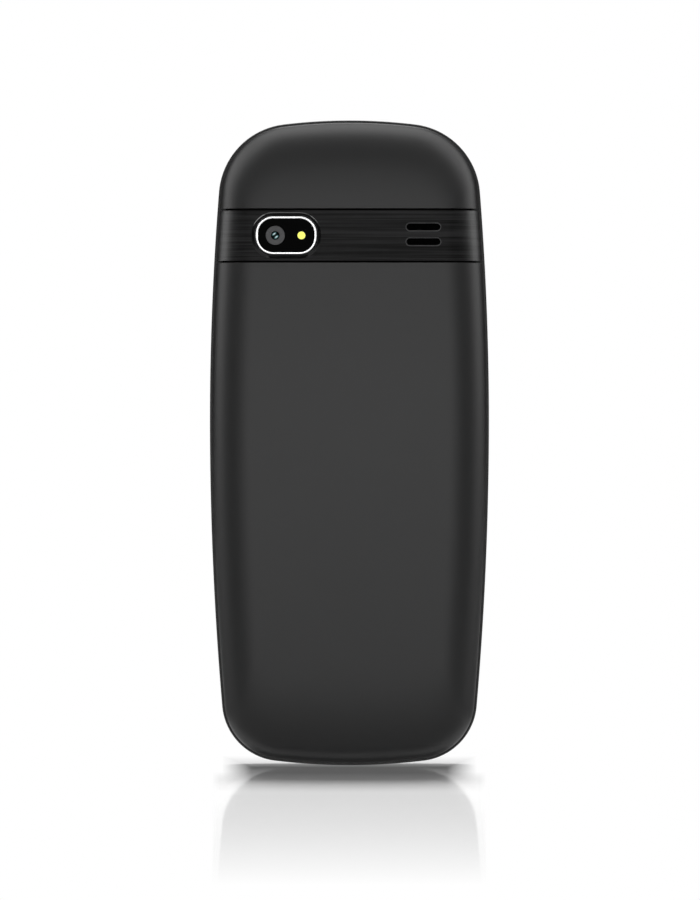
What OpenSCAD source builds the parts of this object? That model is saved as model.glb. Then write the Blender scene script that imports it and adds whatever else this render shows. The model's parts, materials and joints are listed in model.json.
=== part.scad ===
// Feature phone as an assembly of separate pieces, in millimetres.
// It stands upright: Z runs along its length, the back faces -Y and the keys face +Y.

/* [Outline] */
// Height of the phone
body_h = 116; // [106:0.5:126]
// Width at the widest point
body_w = 50.2; // [46:0.1:55]
// Height of the widest point
waist_z = 62; // [56:0.5:68]
// Radius of the long sides above the widest point
side_r_high = 520; // [420:5:900]
// Radius of the long sides below the widest point
side_r_low = 600; // [420:5:900]
// Radius of the top edge
top_r = 98; // [85:1:140]
// Radius of the bottom edge
bottom_r = 111; // [85:1:140]
// Radius of the top corners
corner_r_high = 13.3; // [12:0.1:15]
// Radius of the bottom corners
corner_r_low = 10.8; // [9.5:0.1:13]

/* [Shells] */
// Wall of the back shells
back_wall = 1.3; // [1.1:0.05:1.5]
// Ledge of the front cover that shows round the back shells
ledge = 0.45; // [0.3:0.05:0.6]
// Depth from the back face to the parting plane
back_depth = 4.5; // [4.3:0.05:4.8]
// Depth of the rounded edge of the back
edge_depth = 4.1; // [3.6:0.05:4.2]
// Reach of the rounded edge in from the long sides
edge_reach = 6.95; // [6:0.05:7.6]
// Reach of the slow curve in from the top and the bottom
end_reach = 22; // [18:0.5:25]
// Wall of the front cover's sides
side_wall = 1.5; // [1.2:0.05:1.6]
// Inward lean of the front cover's sides
side_lean = 0.3; // [0.1:0.05:0.5]
// Depth of the front cover's rounded edge
front_depth = 3.6; // [2.8:0.1:4.2]
// Reach of the front cover's rounded edge
front_reach = 2.8; // [2:0.1:3]
// Wall of the rear housing
chassis_wall = 1; // [0.8:0.05:1.1]
// Thickness of the rear housing's deck
deck_t = 0.8; // [0.7:0.05:0.9]
// Rise of the deck above the parting plane
deck_rise = 1.3; // [1.2:0.05:1.4]

/* [Stack from back to front] */
// Battery thickness
battery_t = 5.6; // [5:0.1:6.5]
// Floor of the battery bay
floor_t = 0.8; // [0.6:0.05:1]
// Height of the card sockets on the board
socket_t = 1.2; // [1.1:0.05:1.3]
// Main board thickness
board_t = 0.8; // [0.6:0.1:1]
// Display module thickness
display_t = 2.25; // [2.1:0.05:2.8]
// Ledge that carries the display window
window_seat_t = 0.55; // [0.4:0.05:0.8]
// Display window thickness
window_t = 0.95; // [0.7:0.05:1.2]

/* [Band, camera and speaker] */
// Drop of the upper seam below the top
band_drop = 16.2; // [15:0.1:17]
// Height of the band between the seams
band_h = 9.3; // [9:0.1:10.4]
// Width of each seam
seam = 0.3; // [0.2:0.05:0.4]
// Distance of the camera ring's centre from the side
island_side = 13.77; // [13:0.01:14.6]
// Width of the camera ring
island_w = 10.9; // [10.6:0.1:11.6]
// Height of the camera ring
island_h = 6.8; // [6.6:0.1:7.2]
// Corner radius of the camera ring
island_r = 3.1; // [2.4:0.1:3.2]
// Rim of the camera ring
ring_w = 0.45; // [0.35:0.05:0.55]
// Stand of the camera ring above the back
island_rise = 0.4; // [0.3:0.05:0.8]
// Bevelled collar of the band round the ring
collar_w = 0.7; // [0.5:0.05:0.9]
// Thickness of the camera window
lens_window_t = 0.8; // [0.6:0.05:0.9]
// Lens position, left of the ring's centre
lens_offset = 1.96; // [1.9:0.02:2.1]
// Radius of the camera's grey nose
nose_r = 1.7; // [1.5:0.05:1.9]
// Radius of the camera lens
lens_r = 0.75; // [0.6:0.05:0.9]
// Flash position, right of the ring's centre
flash_offset = 2.73; // [2.6:0.02:2.9]
// Radius of the flash
flash_r = 0.75; // [0.6:0.05:0.9]
// Distance of the speaker slots' centre from the side
slot_side = 11.84; // [11.5:0.01:12.6]
// Width of each speaker slot
slot_w = 6.2; // [5.6:0.1:6.6]
// Height of each speaker slot
slot_h = 1.17; // [1:0.05:1.3]
// Spacing of the two slots
slot_pitch = 2.65; // [2.4:0.05:2.9]

/* [Display and keys] */
// Height of the display module
display_h = 49.5; // [45:0.1:54]
// Border of the window above and below the display
display_end = 0.75; // [0.5:0.05:1.5]
// Border of the window beside the display
display_side = 2; // [1.8:0.1:3]
// Space beside the display window
window_side = 5.1; // [4.8:0.1:6]
// Space above the display window
window_drop = 10.6; // [10.4:0.1:12]
// Space beside the keys
keypad_side = 6; // [5.8:0.1:7]
// Space below the lowest row of keys
keypad_margin = 8.5; // [8.4:0.1:9]
// Gap between keys
key_gap = 1.4; // [1.3:0.05:1.5]
// Gap between rows of keys
row_gap = 1.6; // [1.4:0.05:1.7]
// Stand of the keys above the front
key_proud = 0.4; // [0.3:0.05:0.8]
// Travel of a pressed key
key_travel = 0.35; // [0.25:0.05:0.4]
// Width of the navigation ring
nav_w = 17; // [16.4:0.1:17.2]
// Height of the navigation ring
nav_h = 13.2; // [12.8:0.1:13.4]
// Width of the centre key
centre_w = 7.4; // [7:0.1:7.6]
// Height of the centre key
centre_h = 5.8; // [5.4:0.1:6]

/* [Battery and board] */
// Space beside the battery
battery_side = 8.1; // [7.9:0.1:9]
// Space above the battery
battery_drop = 41.3; // [40:0.1:46]
// Height of the battery's lower end
battery_z = 21.5; // [21:0.1:22]
// Space beside the SIM sockets in the bay
socket_side = 1.6; // [1.2:0.1:2.4]
// Height of each card socket
socket_h = 12.4; // [11.4:0.2:13]

/* [Ports and screws] */
// Distance of the audio jack's centre from the side
jack_side = 16.1; // [15.6:0.1:17]
// Radius of the audio jack's bore
jack_r = 1.8; // [1.75:0.01:1.82]
// Depth of the audio jack's bore
jack_depth = 12; // [11:0.5:12]
// Width of the USB port
usb_w = 7.8; // [7.6:0.05:8]
// Thickness of the USB port
usb_t = 2.8; // [2.7:0.05:2.9]
// Radius of a housing screw's shank
screw_r = 0.75; // [0.6:0.05:0.8]
// Radius of a housing screw's head
screw_head_r = 1.3; // [1.1:0.05:1.35]

/* [Hidden] */
$fn = 64;
number_keys = [
    ["key_1", "key_2", "key_3"],
    ["key_4", "key_5", "key_6"],
    ["key_7", "key_8", "key_9"],
    ["key_star", "key_0", "key_hash"],
];
side_keys = [["left_soft_key", "right_soft_key"], ["call_key", "end_key"]];

// Clearances
touch = 0.05;
fit_room = 0.2;
battery_room = 0.15;
bay_room = 0.1;
bay_side_room = 0.3;
display_room = 0.1;
window_room = 0.1;
jack_room = 0.1;
port_room = 0.25;
frame_room = 0.3;
past = 1;

// Depths of the stack, from the back face to the front face
board_gap = socket_t + touch - floor_t;
display_gap = 0.15;
stack_to_board = back_wall + battery_room + battery_t + bay_room + floor_t + board_gap;
stack_to_face = stack_to_board + board_t + display_gap + display_t + display_room;
body_t = stack_to_face + window_seat_t + window_t;
back_y = -body_t / 2;
front_y = body_t / 2;
part_y = back_y + back_depth;
cover_in_y = back_y + back_wall;
battery_back_y = cover_in_y + battery_room;
battery_front_y = battery_back_y + battery_t;
floor_back_y = battery_front_y + bay_room;
floor_front_y = floor_back_y + floor_t;
board_back_y = back_y + stack_to_board;
board_front_y = board_back_y + board_t;
display_back_y = board_front_y + display_gap;
display_front_y = display_back_y + display_t;
face_in_y = back_y + stack_to_face;
window_seat_y = face_in_y + window_seat_t;
deck_back_y = part_y - deck_rise;
deck_front_y = deck_back_y + deck_t;

// Insets of the inner pieces from the outline
inner_draft = 0.2;
lip = 0.25;
lip_inset = 0.1;
tongue_inset = side_wall + frame_room;
deck_inset = ledge + back_wall + 0.85;
board_inset = side_wall + 0.7;
half_w = body_w / 2;

// Band, camera and speaker
band_top = body_h - band_drop;
band_bottom = band_top - band_h;
band_z = (band_top + band_bottom) / 2;
island_x = half_w - island_side;
island_y = back_y - island_rise;
ring_ledge = 0.45;
lens_window_y = island_y + 0.1;
window_back_y = lens_window_y + lens_window_t;
lens_x = -island_x - lens_offset;
lens_t = 0.55;
lens_dome_r = 1.2;
flash_x = -island_x + flash_offset;
nose_y = island_y + 0.2;
barrel_r = 3;
barrel_y = cover_in_y + 0.1;
camera_base_w = 7.4;
camera_base_y = deck_front_y + 1.4;
flash_base_w = 2;
flash_base_y = cover_in_y + touch;
flash_seat_y = flash_base_y + 0.65;
flash_post_w = flash_base_w + 0.4;
slot_x = half_w - slot_side;
slot_z = band_z + 0.2;
mesh_t = 0.15;
mesh_rim = 0.3;
mesh_r = 1.2;
speaker_w = slot_w + 3.8;
speaker_h = 11;
speaker_lip = 0.6;
speaker_lip_t = 0.5;
speaker_back_y = cover_in_y + fit_room + mesh_t + touch;
speaker_front_y = deck_front_y + 0.6;
antenna_side = 11.6;
antenna_drop = 10.7;
antenna_w = body_w - 2 * antenna_side;
antenna_h = 5.8;
antenna_t = 0.9;
antenna_z = body_h - antenna_drop;
antenna_y = deck_back_y - touch - antenna_t;
strip_w = 1;
strip_t = 0.12;
strip_pitch = 1.8;
strip_l = antenna_w - 4 * strip_w;
post_r = 1.2;
post_side = 6.6;
post_rise = 3.4;
post_x = half_w - post_side;
post_z = band_top + post_rise;

// Display and earpiece, from the top down
window_w = body_w - 2 * window_side;
window_h = display_h + 2 * display_end;
window_r = 3.5;
window_z = body_h - window_drop - window_h / 2;
display_w = window_w - 2 * display_side;
view_side = 0.5;
view_end = 1.5;
view_r = 1;
ear_rise = 4.2;
ear_z = body_h - window_drop + ear_rise;
ear_slot_w = 9;
ear_slot_h = 1.4;
ear_rim_x = 1;
ear_rim_z = 2;
ear_w = ear_slot_w + 2 * ear_rim_x;
ear_h = ear_slot_h + 2 * ear_rim_z;
ear_r = 2.6;
ear_front_y = face_in_y - fit_room;
ear_t = 1.9;
ear_mesh_w = ear_slot_w + ear_rim_x;
ear_mesh_h = ear_slot_h + ear_rim_x + 3 * fit_room;
ear_mesh_r = 1.4;
ear_mesh_t = 0.1;

// Keys: the rows share the height that is left below the navigation ring
nav_gap = 1.7;
nav_z = window_z - window_h / 2 - nav_gap - nav_h / 2;
nav_corner_r = 6;
keys_top = nav_z - nav_h / 2 - key_gap;
row_pitch = (keys_top + row_gap - keypad_margin) / 4;
key_h = row_pitch - row_gap;
key_w = (body_w - 2 * keypad_side - 2 * key_gap) / 3;
column_pitch = key_w + key_gap;
key_corner_share = 0.32;
centre_corner_r = 2.4;
side_key_w = column_pitch + key_w / 2 - nav_w / 2 - key_gap;
side_key_h = nav_h / 2 - key_gap / 2 - 0.4;
side_key_x = column_pitch + (key_w - side_key_w) / 2;
side_key_rise = (side_key_h + key_gap) / 2;

// Depths of the keys and what lies under them
key_y = front_y + key_proud;
key_crown_r = 19;
nav_crown_r = 60;
key_flange = 0.5;
flange_t = 0.5;
flange_front_y = face_in_y - 0.15;
flange_back_y = flange_front_y - flange_t;
dome_base_y = board_front_y + touch;
dome_sheet_y = dome_base_y + 0.1;
dome_y = dome_sheet_y + 0.3;
dome_r = 1.9;
dome_slope = 0.8;
plunger_y = dome_y + key_travel + touch;
plunger_r = 1;
plunger_room = 0.4;
sheet_front_y = flange_back_y - key_travel - touch;
sheet_back_y = sheet_front_y - 0.4;
sheet_rim = 0.8;
sheet_r = 4;
nav_flange_front_y = face_in_y - 0.45;
nav_flange_back_y = nav_flange_front_y - 0.45;
nav_step_y = nav_flange_front_y + 0.75;
centre_flange_front_y = nav_step_y - 0.35;
centre_flange_back_y = centre_flange_front_y - flange_t;
centre_room = 0.3;
centre_step_room = 0.4;
pad_gap = 0.4;
pad_t = 0.3;
pad_front_y = nav_flange_back_y - pad_gap;
pad_back_y = pad_front_y - pad_t;
pad_margin = 0.7;
pad_hole_r = plunger_r + pad_margin;
nub_r = 0.8;
nub_room = 0.35;
nub_x = nav_w / 2 - 2.1;
nub_z = nav_h / 2 - 1.7;
ridge_w = 2;
ridge_l = 1.6;
ridge_r = pad_gap - touch;
rocker_x = 3.2;
rocker_l = 2;
rocker_r = pad_back_y - dome_sheet_y - touch;
nav_hole_room = key_flange + fit_room;
sheet_w = 2 * (column_pitch + key_w / 2 + key_flange + 0.4);
sheet_z = keypad_margin - key_flange - 0.4;
sheet_h = nav_z + nav_h / 2 + nav_hole_room + sheet_rim - sheet_z;

// Bay, sockets and contacts
battery_w = body_w - 2 * battery_side;
battery_top = body_h - battery_drop;
battery_h = battery_top - battery_z;
battery_r = 1.2;
bay_wall = 0.8;
bay_w = battery_w + 2 * bay_side_room;
bay_z = battery_z - bay_side_room;
contact_room = 3.8;
bay_h = battery_h + 2 * bay_side_room + contact_room;
bay_mid_z = bay_z + bay_h / 2;
contact_x = -3;
contact_pitch = 3;
contact_block = [3 * contact_pitch + 2, 2.4];
contact_back_y = battery_back_y + 1.6;
terminal_w = 1.8;
terminal_t = 0.1;
spring_w = 1;
spring_h = 0.6;
spring_z = battery_top + 0.25;
contact_z = spring_z + spring_h + touch;
socket_gap = 2.2;
socket_w = (bay_w - 2 * socket_side - socket_gap) / 2;
socket_skin = 0.3;
socket_rail = 0.8;
socket_frame = 2.5;
card_t = 0.6;
sim_x = (socket_w + socket_gap) / 2;
sim_share = 0.2726;
memory_share = 0.6861;
sim_z = battery_z + sim_share * battery_h;
memory_z = battery_z + memory_share * battery_h;

// Ports, motor and screws
jack_x = half_w - jack_side;
jack_y = board_back_y - 1.25;
jack_z = body_h - 1.4;
jack_collar_r = jack_r + 0.3;
jack_floor = 1;
jack_body = [6, 4.2, jack_depth - 2];
jack_notch_w = jack_body.x + 2 * frame_room;
jack_notch_z = jack_z - jack_depth - jack_floor - frame_room;
usb_y = board_back_y - touch - usb_t / 2;
usb_z = 0.9;
usb_h = 5.6;
usb_wall = 0.3;
usb_floor = 0.6;
usb_cut = 1;
tongue_w = 4;
tongue_t = 0.6;
tongue_in = 0.4;
tongue_y = usb_y + 0.1;
motor_r = 2;
motor_y = board_back_y - touch - motor_r;
motor_z = 13.2;
motor_side = 10.1;
motor_x = motor_side - half_w;
motor_l = 8;
shaft_r = 0.4;
weight_r = 1.9;
weight_l = 2.6;
weight_x = motor_x + motor_l + 0.3;
shaft_l = weight_l + 0.6;
weight_hub_r = shaft_r + 0.5;
mic_x = -6;
mic_z = 5.4;
mic_w = 3.5;
mic_h = 2.4;
mic_t = 1;
mic_hole_r = 0.45;
boss_r = 1.7;
boss_back_y = deck_front_y + 0.1;
boss_bore_y = board_back_y + 0.4;
screw_tip_y = board_back_y - 0.6;
screw_head_t = 0.6;
screw_sink = 0.3;
screw_seat_y = deck_back_y + screw_sink;
screw_cross = [1.5, 0.35, 0.35];
screw_sides = [10.1, 4.49, 9.6];
low_screw_z = 5.8;
mid_screw_z = band_bottom - 10.5;
top_screw_z = body_h - 8.5;
screw_spots = [
    [half_w - screw_sides[0], low_screw_z],
    [side_x(mid_screw_z) - screw_sides[1], mid_screw_z],
    [half_w - screw_sides[2], top_screw_z],
];
clip_shares = [0.33, 0.61, 0.9];
clip_zs = [for (share = clip_shares) share * band_bottom];
clip_w = 1.1;
clip_t = 0.6;
clip_l = 6;
clip_room = 0.15;
clip_y = part_y - 0.5;
clip_in = ledge + back_wall + 0.45;
nail_side = 12.1;
nail_x = nail_side - half_w;
nail_r = 6;
nail_rise = 0.7;
can_side = 7.1;
can_drop = 15.8;
can_gap = 1.2;
can_w = body_w - 2 * can_side;
can_z = bay_z + bay_h + bay_wall + can_gap;
can_top = body_h - can_drop;
can_h = can_top - can_z;
can_t = 1.9;
can_wall = 0.2;

// Outline of the phone, as tangent arcs in the X-Z plane

side_steps = 6;
corner_steps = 8;
end_steps = 5;
corner_min_r = 2;

function arc(c, r, from, to, steps) =
    [for (i = [0:steps - 1]) let (t = from + (to - from) * i / steps) c + r * [cos(t), sin(t)]];

function bearing(from, to) = atan2(to.y - from.y, to.x - from.x);

// Centre of the corner arc that touches a side arc and an end arc from inside.
function corner_centre(side_c, side_r, end_c, end_r, up) =
    let (d = norm(end_c - side_c), u = (end_c - side_c) / d)
    let (along = (side_r ^ 2 - end_r ^ 2 + d ^ 2) / (2 * d))
    side_c + along * u + up * sqrt(side_r ^ 2 - along ^ 2) * [-u.y, u.x];

// From the widest point round one corner to the middle of an end: up is 1 for the top, -1 for the bottom.
function quarter(half_w, end_z, side_r, end_r, corner_r, up) =
    let (side_c = [half_w - side_r, waist_z], end_c = [0, end_z - up * end_r])
    let (c = corner_centre(side_c, side_r - corner_r, end_c, end_r - corner_r, up))
    let (side_t = bearing(side_c, c), end_t = bearing(end_c, c))
    concat(
        arc(side_c, side_r, 0, side_t, side_steps),
        arc(c, corner_r, side_t, end_t, corner_steps),
        arc(end_c, end_r, end_t, up * 90, end_steps),
        [[0, end_z]]
    );

// The whole outline, counter-clockwise from the bottom, set in from the sides and from the ends.
function outline(side_in, end_in) =
    let (half_w = body_w / 2 - side_in)
    let (high = quarter(half_w, body_h - end_in, side_r_high - side_in, top_r - end_in,
        max(corner_r_high - side_in, corner_min_r), 1))
    let (low = quarter(half_w, end_in, side_r_low - side_in, bottom_r - end_in,
        max(corner_r_low - side_in, corner_min_r), -1))
    let (right = concat([for (i = [len(low) - 1:-1:1]) low[i]], high))
    concat(right, [for (i = [len(right) - 2:-1:1]) [-right[i].x, right[i].y]]);

function ring(y, side_in, end_in) = [for (p = outline(side_in, end_in)) [p.x, y, p.y]];

// Half width of the outline at a height on the long sides.
function side_x(z) =
    let (r = z > waist_z ? side_r_high : side_r_low)
    body_w / 2 - r + sqrt(r ^ 2 - (z - waist_z) ^ 2);

// One ring of the back shells: t is 90 at the side wall and 0 where the back is flat.
function back_ring(t, skin) = ring(
    back_y + skin + (edge_depth - skin) * (1 - cos(t)),
    ledge + skin + (edge_reach - skin) * (1 - sin(t)),
    ledge + skin + (end_reach - skin) * (1 - sqrt(sin(t)))
);

function even_ring(y, inset) = ring(y, inset, inset);

// One ring of the front cover's rounded edge: t is 0 where the front is flat.
function front_ring(t) =
    even_ring(front_y - front_depth * (1 - cos(t)), side_lean + front_reach * (1 - sin(t)));

// Helpers

// A solid through rings of equal length, from the ring facing +Y to the ring facing -Y.
module loft(rings) {
    m = len(rings[0]);
    last = len(rings) - 1;
    walls = [for (k = [0:last - 1], i = [0:m - 1])
        let (j = (i + 1) % m, a = k * m, b = a + m)
        each [[a + i, b + i, b + j], [a + i, b + j, a + j]]];
    caps = [[for (i = [0:m - 1]) i], [for (i = [m - 1:-1:0]) last * m + i]];
    polyhedron([for (r = rings) each r], concat(walls, caps));
}

// Extrudes a shape drawn in X-Z between two depths.
module slab(y0, y1) translate([0, y1, 0]) rotate([90, 0, 0]) linear_extrude(y1 - y0) children();

// A round bar along Y at (x, z).
module rod(x, z, r, y0, y1) translate([x, y1, z]) rotate([90, 0, 0]) cylinder(r = r, h = y1 - y0);

// A box given by its centre in X-Z and its two depths.
module block(x, z, w, h, y0, y1) translate([x - w / 2, y0, z - h / 2]) cube([w, y1 - y0, h]);

module rounded(w, h, r) {
    square([w, h - 2 * r], center = true);
    square([w - 2 * r, h], center = true);
    for (x = [-1, 1], z = [-1, 1]) translate([x * (w / 2 - r), z * (h / 2 - r)]) circle(r);
}

// A slot with round ends.
module stadium(w, h) {
    square([w - h, h], center = true);
    for (x = [-1, 1]) translate([x * (w - h) / 2, 0]) circle(h / 2);
}

module plan(inset) polygon(outline(inset, inset));

module island(grow)
    translate([-island_x, band_z]) rounded(island_w + 2 * grow, island_h + 2 * grow, island_r + grow);

module slots()
    for (z = [-1, 1]) translate([slot_x, slot_z + z * slot_pitch / 2]) stadium(slot_w, slot_h);

module at_screws() for (s = screw_spots, side = [-1, 1]) translate([side * s.x, 0, s.y]) children();

module at_clips(depth)
    for (z = clip_zs, side = [-1, 1]) translate([side * (side_x(z) - depth), clip_y, z]) children();

// Back shells, front cover and rear housing

// The whole back as one cup, before the seams divide it.
module back_cup() loft(concat(
    [for (t = [0:18:90]) back_ring(t, back_wall)],
    [for (inset = [ledge + back_wall, ledge]) even_ring(part_y - touch, inset)],
    [for (t = [90:-10:0]) back_ring(t, 0)]
));

// The part of the back between two heights.
module back_between(z0, z1) intersection() {
    back_cup();
    block(0, (z0 + z1) / 2, body_w + past, z1 - z0, back_y - past, part_y);
}

module top_cap() color("#2b2b2c") {
    back_between(band_top + seam / 2, body_h + past);
    for (side = [-1, 1]) rod(side * post_x, post_z, post_r, cover_in_y + fit_room, deck_back_y - touch);
}

module brushed_band() color("#232324") difference() {
    union() {
        back_between(band_bottom + seam / 2, band_top - seam / 2);
        hull() {
            slab(back_y - island_rise / 2, back_y) island(collar_w / 3);
            slab(back_y - touch / 5, back_y + touch) island(collar_w);
        }
    }
    slab(back_y - past, part_y) island(touch);
    slab(back_y - past, part_y) slots();
}

module battery_cover() color("#2b2b2c") {
    difference() {
        back_between(-past, band_bottom - seam / 2);
        translate([nail_x, part_y + nail_r - nail_rise, -past]) cylinder(r = nail_r, h = nail_r);
    }
    at_clips(clip_in) cube([clip_w, clip_t, clip_l], center = true);
}

module front_cover() color("#111112") difference() {
    union() {
        loft(concat(
            [for (t = [0:15:90]) front_ring(t)],
            [even_ring(part_y + lip, 0), even_ring(part_y, lip_inset)],
            [even_ring(part_y, side_wall), even_ring(face_in_y, side_wall + inner_draft)]
        ));
        at_screws() rod(0, 0, boss_r, boss_back_y, face_in_y + touch);
    }
    at_screws() rod(0, 0, screw_r + touch, boss_back_y - past, boss_bore_y);
    slab(face_in_y - past, window_seat_y + touch)
        translate([0, window_z]) rounded(display_w - 2 * view_side, display_h - 2 * view_end, view_r);
    slab(window_seat_y, front_y + past) translate([0, window_z])
        rounded(window_w + 2 * window_room, window_h + 2 * window_room, window_r + window_room);
    slab(face_in_y - past, front_y + past) key_holes();
    slab(face_in_y - past, front_y + past) translate([0, ear_z]) stadium(ear_slot_w, ear_slot_h);
    rod(mic_x, mic_z, mic_hole_r, face_in_y - past, front_y + past);
    translate([jack_x, jack_y, body_h - 3 * side_wall])
        cylinder(r = jack_collar_r + jack_room, h = 3 * side_wall + past);
    block(0, side_wall, usb_w + 2 * port_room, 4 * side_wall,
        usb_y - usb_t / 2 - port_room, usb_y + usb_t / 2 + port_room);
}

// The openings of every key, as one flat shape.
module key_holes() {
    for (row = [0:3], column = [-1:1]) translate([column * column_pitch, row_z(row)])
        key_plan(key_w, key_h, fit_room);
    for (side = [-1, 1], up = [-1, 1]) translate([side * side_key_x, nav_z + up * side_key_rise])
        key_plan(side_key_w, side_key_h, fit_room);
    translate([0, nav_z]) nav_plan(fit_room);
}

module key_plan(w, h, grow) rounded(w + 2 * grow, h + 2 * grow, key_corner_share * h + grow);

module nav_plan(grow) rounded(nav_w + 2 * grow, nav_h + 2 * grow, nav_corner_r + grow);

module centre_plan(grow) rounded(centre_w + 2 * grow, centre_h + 2 * grow, centre_corner_r + grow);

module rear_housing() color("#3a3b3d") difference() {
    union() {
        difference() {
            union() {
                slab(deck_back_y, part_y) plan(deck_inset);
                slab(part_y - touch, board_back_y - touch) plan(tongue_inset);
            }
            slab(deck_front_y, board_back_y) plan(deck_inset + chassis_wall);
        }
        block(0, bay_mid_z, bay_w + 2 * bay_wall, bay_h + 2 * bay_wall, deck_back_y, floor_front_y);
        block(flash_x, band_z, flash_post_w, flash_post_w, flash_seat_y + touch, deck_front_y);
    }
    block(0, bay_mid_z, bay_w, bay_h, deck_back_y - past, floor_back_y);
    rod(lens_x, band_z, barrel_r + fit_room, deck_back_y - past, deck_front_y + past);
    block(slot_x, slot_z, speaker_w + 2 * fit_room, speaker_h + 2 * fit_room,
        deck_back_y - past, deck_front_y + past);
    at_screws() rod(0, 0, screw_r + fit_room, deck_back_y - past, deck_front_y + past);
    at_screws() rod(0, 0, screw_head_r + fit_room, deck_back_y - past, screw_seat_y);
    at_screws() rod(0, 0, boss_r + fit_room, deck_front_y, board_front_y);
    for (side = [-1, 1]) socket_window(side * sim_x, sim_z);
    socket_window(0, memory_z);
    at_clips(deck_inset) cube([clip_w, clip_t, clip_l] + 2 * clip_room * [-1, 1, 2], center = true);
    jack_notch(jack_y - jack_body.y / 2 - frame_room);
    block(0, usb_z + usb_h / 2, usb_w + 2 * frame_room, usb_h + 2 * side_wall,
        usb_y - usb_t / 2 - frame_room, board_front_y);
}

// Room for the audio jack from its lower end to the top edge, from a given depth on.
module jack_notch(from_y)
    block(jack_x, (jack_notch_z + body_h) / 2, jack_notch_w, body_h - jack_notch_z,
        from_y, board_front_y + past);

module socket_window(x, z)
    block(x, z, socket_w + 2 * fit_room, socket_h + 2 * fit_room,
        floor_back_y - past, floor_front_y + past);

module housing_screws() color("#8a8d90") at_screws() difference() {
    union() {
        rod(0, 0, screw_head_r, screw_seat_y - touch - screw_head_t, screw_seat_y - touch);
        rod(0, 0, screw_r, screw_seat_y - 2 * touch, screw_tip_y);
    }
    for (turn = [0, 90]) rotate([0, turn, 0])
        block(0, 0, screw_cross.x, screw_cross.y, screw_seat_y - past,
            screw_seat_y - touch - screw_head_t + screw_cross.z);
}

// Camera, flash and speaker

module camera_ring() color("#d9dadb") difference() {
    slab(island_y, cover_in_y) island(0);
    slab(island_y - past, window_back_y) island(-ring_w);
    slab(island_y, cover_in_y + past) island(-ring_w - ring_ledge);
}

module camera_window() color("#050506") difference() {
    slab(lens_window_y, window_back_y - touch / 2) island(-ring_w - touch);
    rod(lens_x, band_z, nose_r + touch, island_y - past, window_back_y + past);
    rod(flash_x, band_z, flash_r + touch, island_y - past, window_back_y + past);
}

module camera_module() color("#6f7276") difference() {
    union() {
        block(lens_x, band_z, camera_base_w, camera_base_w, deck_front_y + touch, camera_base_y);
        rod(lens_x, band_z, barrel_r, barrel_y, deck_front_y + 2 * touch);
        rod(lens_x, band_z, nose_r, nose_y, barrel_y + touch);
    }
    rod(lens_x, band_z, lens_r + touch, nose_y - past, nose_y + lens_t + touch);
}

module camera_lens() color("#0c1a1c") intersection() {
    rod(lens_x, band_z, lens_r, nose_y, nose_y + lens_t);
    translate([lens_x, nose_y + lens_dome_r + 2 * touch, band_z]) sphere(r = lens_dome_r);
}

module flash_led() color("#f6f25c") {
    block(flash_x, band_z, flash_base_w, flash_base_w, flash_base_y, flash_seat_y);
    rod(flash_x, band_z, flash_r, nose_y, flash_base_y + touch);
}

module loudspeaker() color("#3b3d40") {
    block(slot_x, slot_z, speaker_w, speaker_h, speaker_back_y, speaker_front_y);
    block(slot_x, slot_z, speaker_w + 2 * speaker_lip, speaker_h + 2 * speaker_lip,
        deck_back_y - touch - speaker_lip_t, deck_back_y - touch);
}

module speaker_mesh() color("#0a0a0b")
    slab(speaker_back_y - touch - mesh_t, speaker_back_y - touch) translate([slot_x, slot_z])
        rounded(slot_w + 2 * mesh_rim, slot_pitch + slot_h + 2 * mesh_rim, mesh_r);

module antenna_carrier() color("#1d1e20")
    block(0, antenna_z, antenna_w, antenna_h, antenna_y, deck_back_y - touch);

// A folded strip on the carrier's back.
module antenna() color("#b87333") {
    front = antenna_y - touch / 2;
    back = front - strip_t;
    for (i = [-1:1]) block(0, antenna_z + i * strip_pitch, strip_l, strip_w, back, front);
    for (side = [-1, 1]) block(side * (strip_l - strip_w) / 2, antenna_z + side * strip_pitch / 2,
        strip_w, strip_pitch + strip_w, back, front);
}

// Battery and its contacts

module battery() color("#55585c")
    slab(battery_back_y, battery_front_y)
        translate([0, battery_z + battery_h / 2]) rounded(battery_w, battery_h, battery_r);

module at_contacts() for (i = [-1:1]) translate([contact_x + i * contact_pitch, 0, 0]) children();

module battery_terminals() color("#d4af37")
    at_contacts() block(0, battery_top + touch + terminal_t / 2, terminal_w, terminal_t,
        contact_back_y + 2 * spring_h, battery_front_y - spring_h);

module battery_contacts() color("#17181a")
    block(contact_x, contact_z + contact_block.y / 2, contact_block.x, contact_block.y,
        contact_back_y, floor_back_y - touch);

module battery_springs() color("#d4af37")
    at_contacts() block(0, spring_z + spring_h / 2, spring_w, spring_h,
        contact_back_y + 2 * spring_h, battery_front_y - 2 * spring_h);

// Main board and what it carries

module main_board() color("#1f5c3a") difference() {
    slab(board_back_y, board_front_y) plan(board_inset);
    at_screws() rod(0, 0, boss_r + frame_room, board_back_y - past, board_front_y + past);
    jack_notch(board_back_y - past);
}

module shield_can() color("#b9bcc0") difference() {
    block(0, can_z + can_h / 2, can_w, can_h, board_back_y - touch - can_t, board_back_y - touch);
    block(0, can_z + can_h / 2, can_w - 2 * can_wall, can_h - 2 * can_wall,
        board_back_y - touch - can_t + can_wall, board_back_y);
}

// A flat metal frame with a slot for the card along one end and a window over its contacts.
module card_socket(x, z) difference() {
    back = board_back_y - touch - socket_t;
    block(x, z, socket_w, socket_h, back, board_back_y - touch);
    block(x, z + socket_rail, socket_w - 2 * socket_rail, socket_h,
        back + socket_skin, back + socket_skin + card_t);
    block(x, z, socket_w - 2 * socket_frame, socket_h - 2 * socket_frame,
        back - past, back + socket_skin + touch);
}

module sim_sockets() color("#b9bcc0") for (side = [-1, 1]) card_socket(side * sim_x, sim_z);

module memory_card_socket() color("#b9bcc0") card_socket(0, memory_z);

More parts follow.
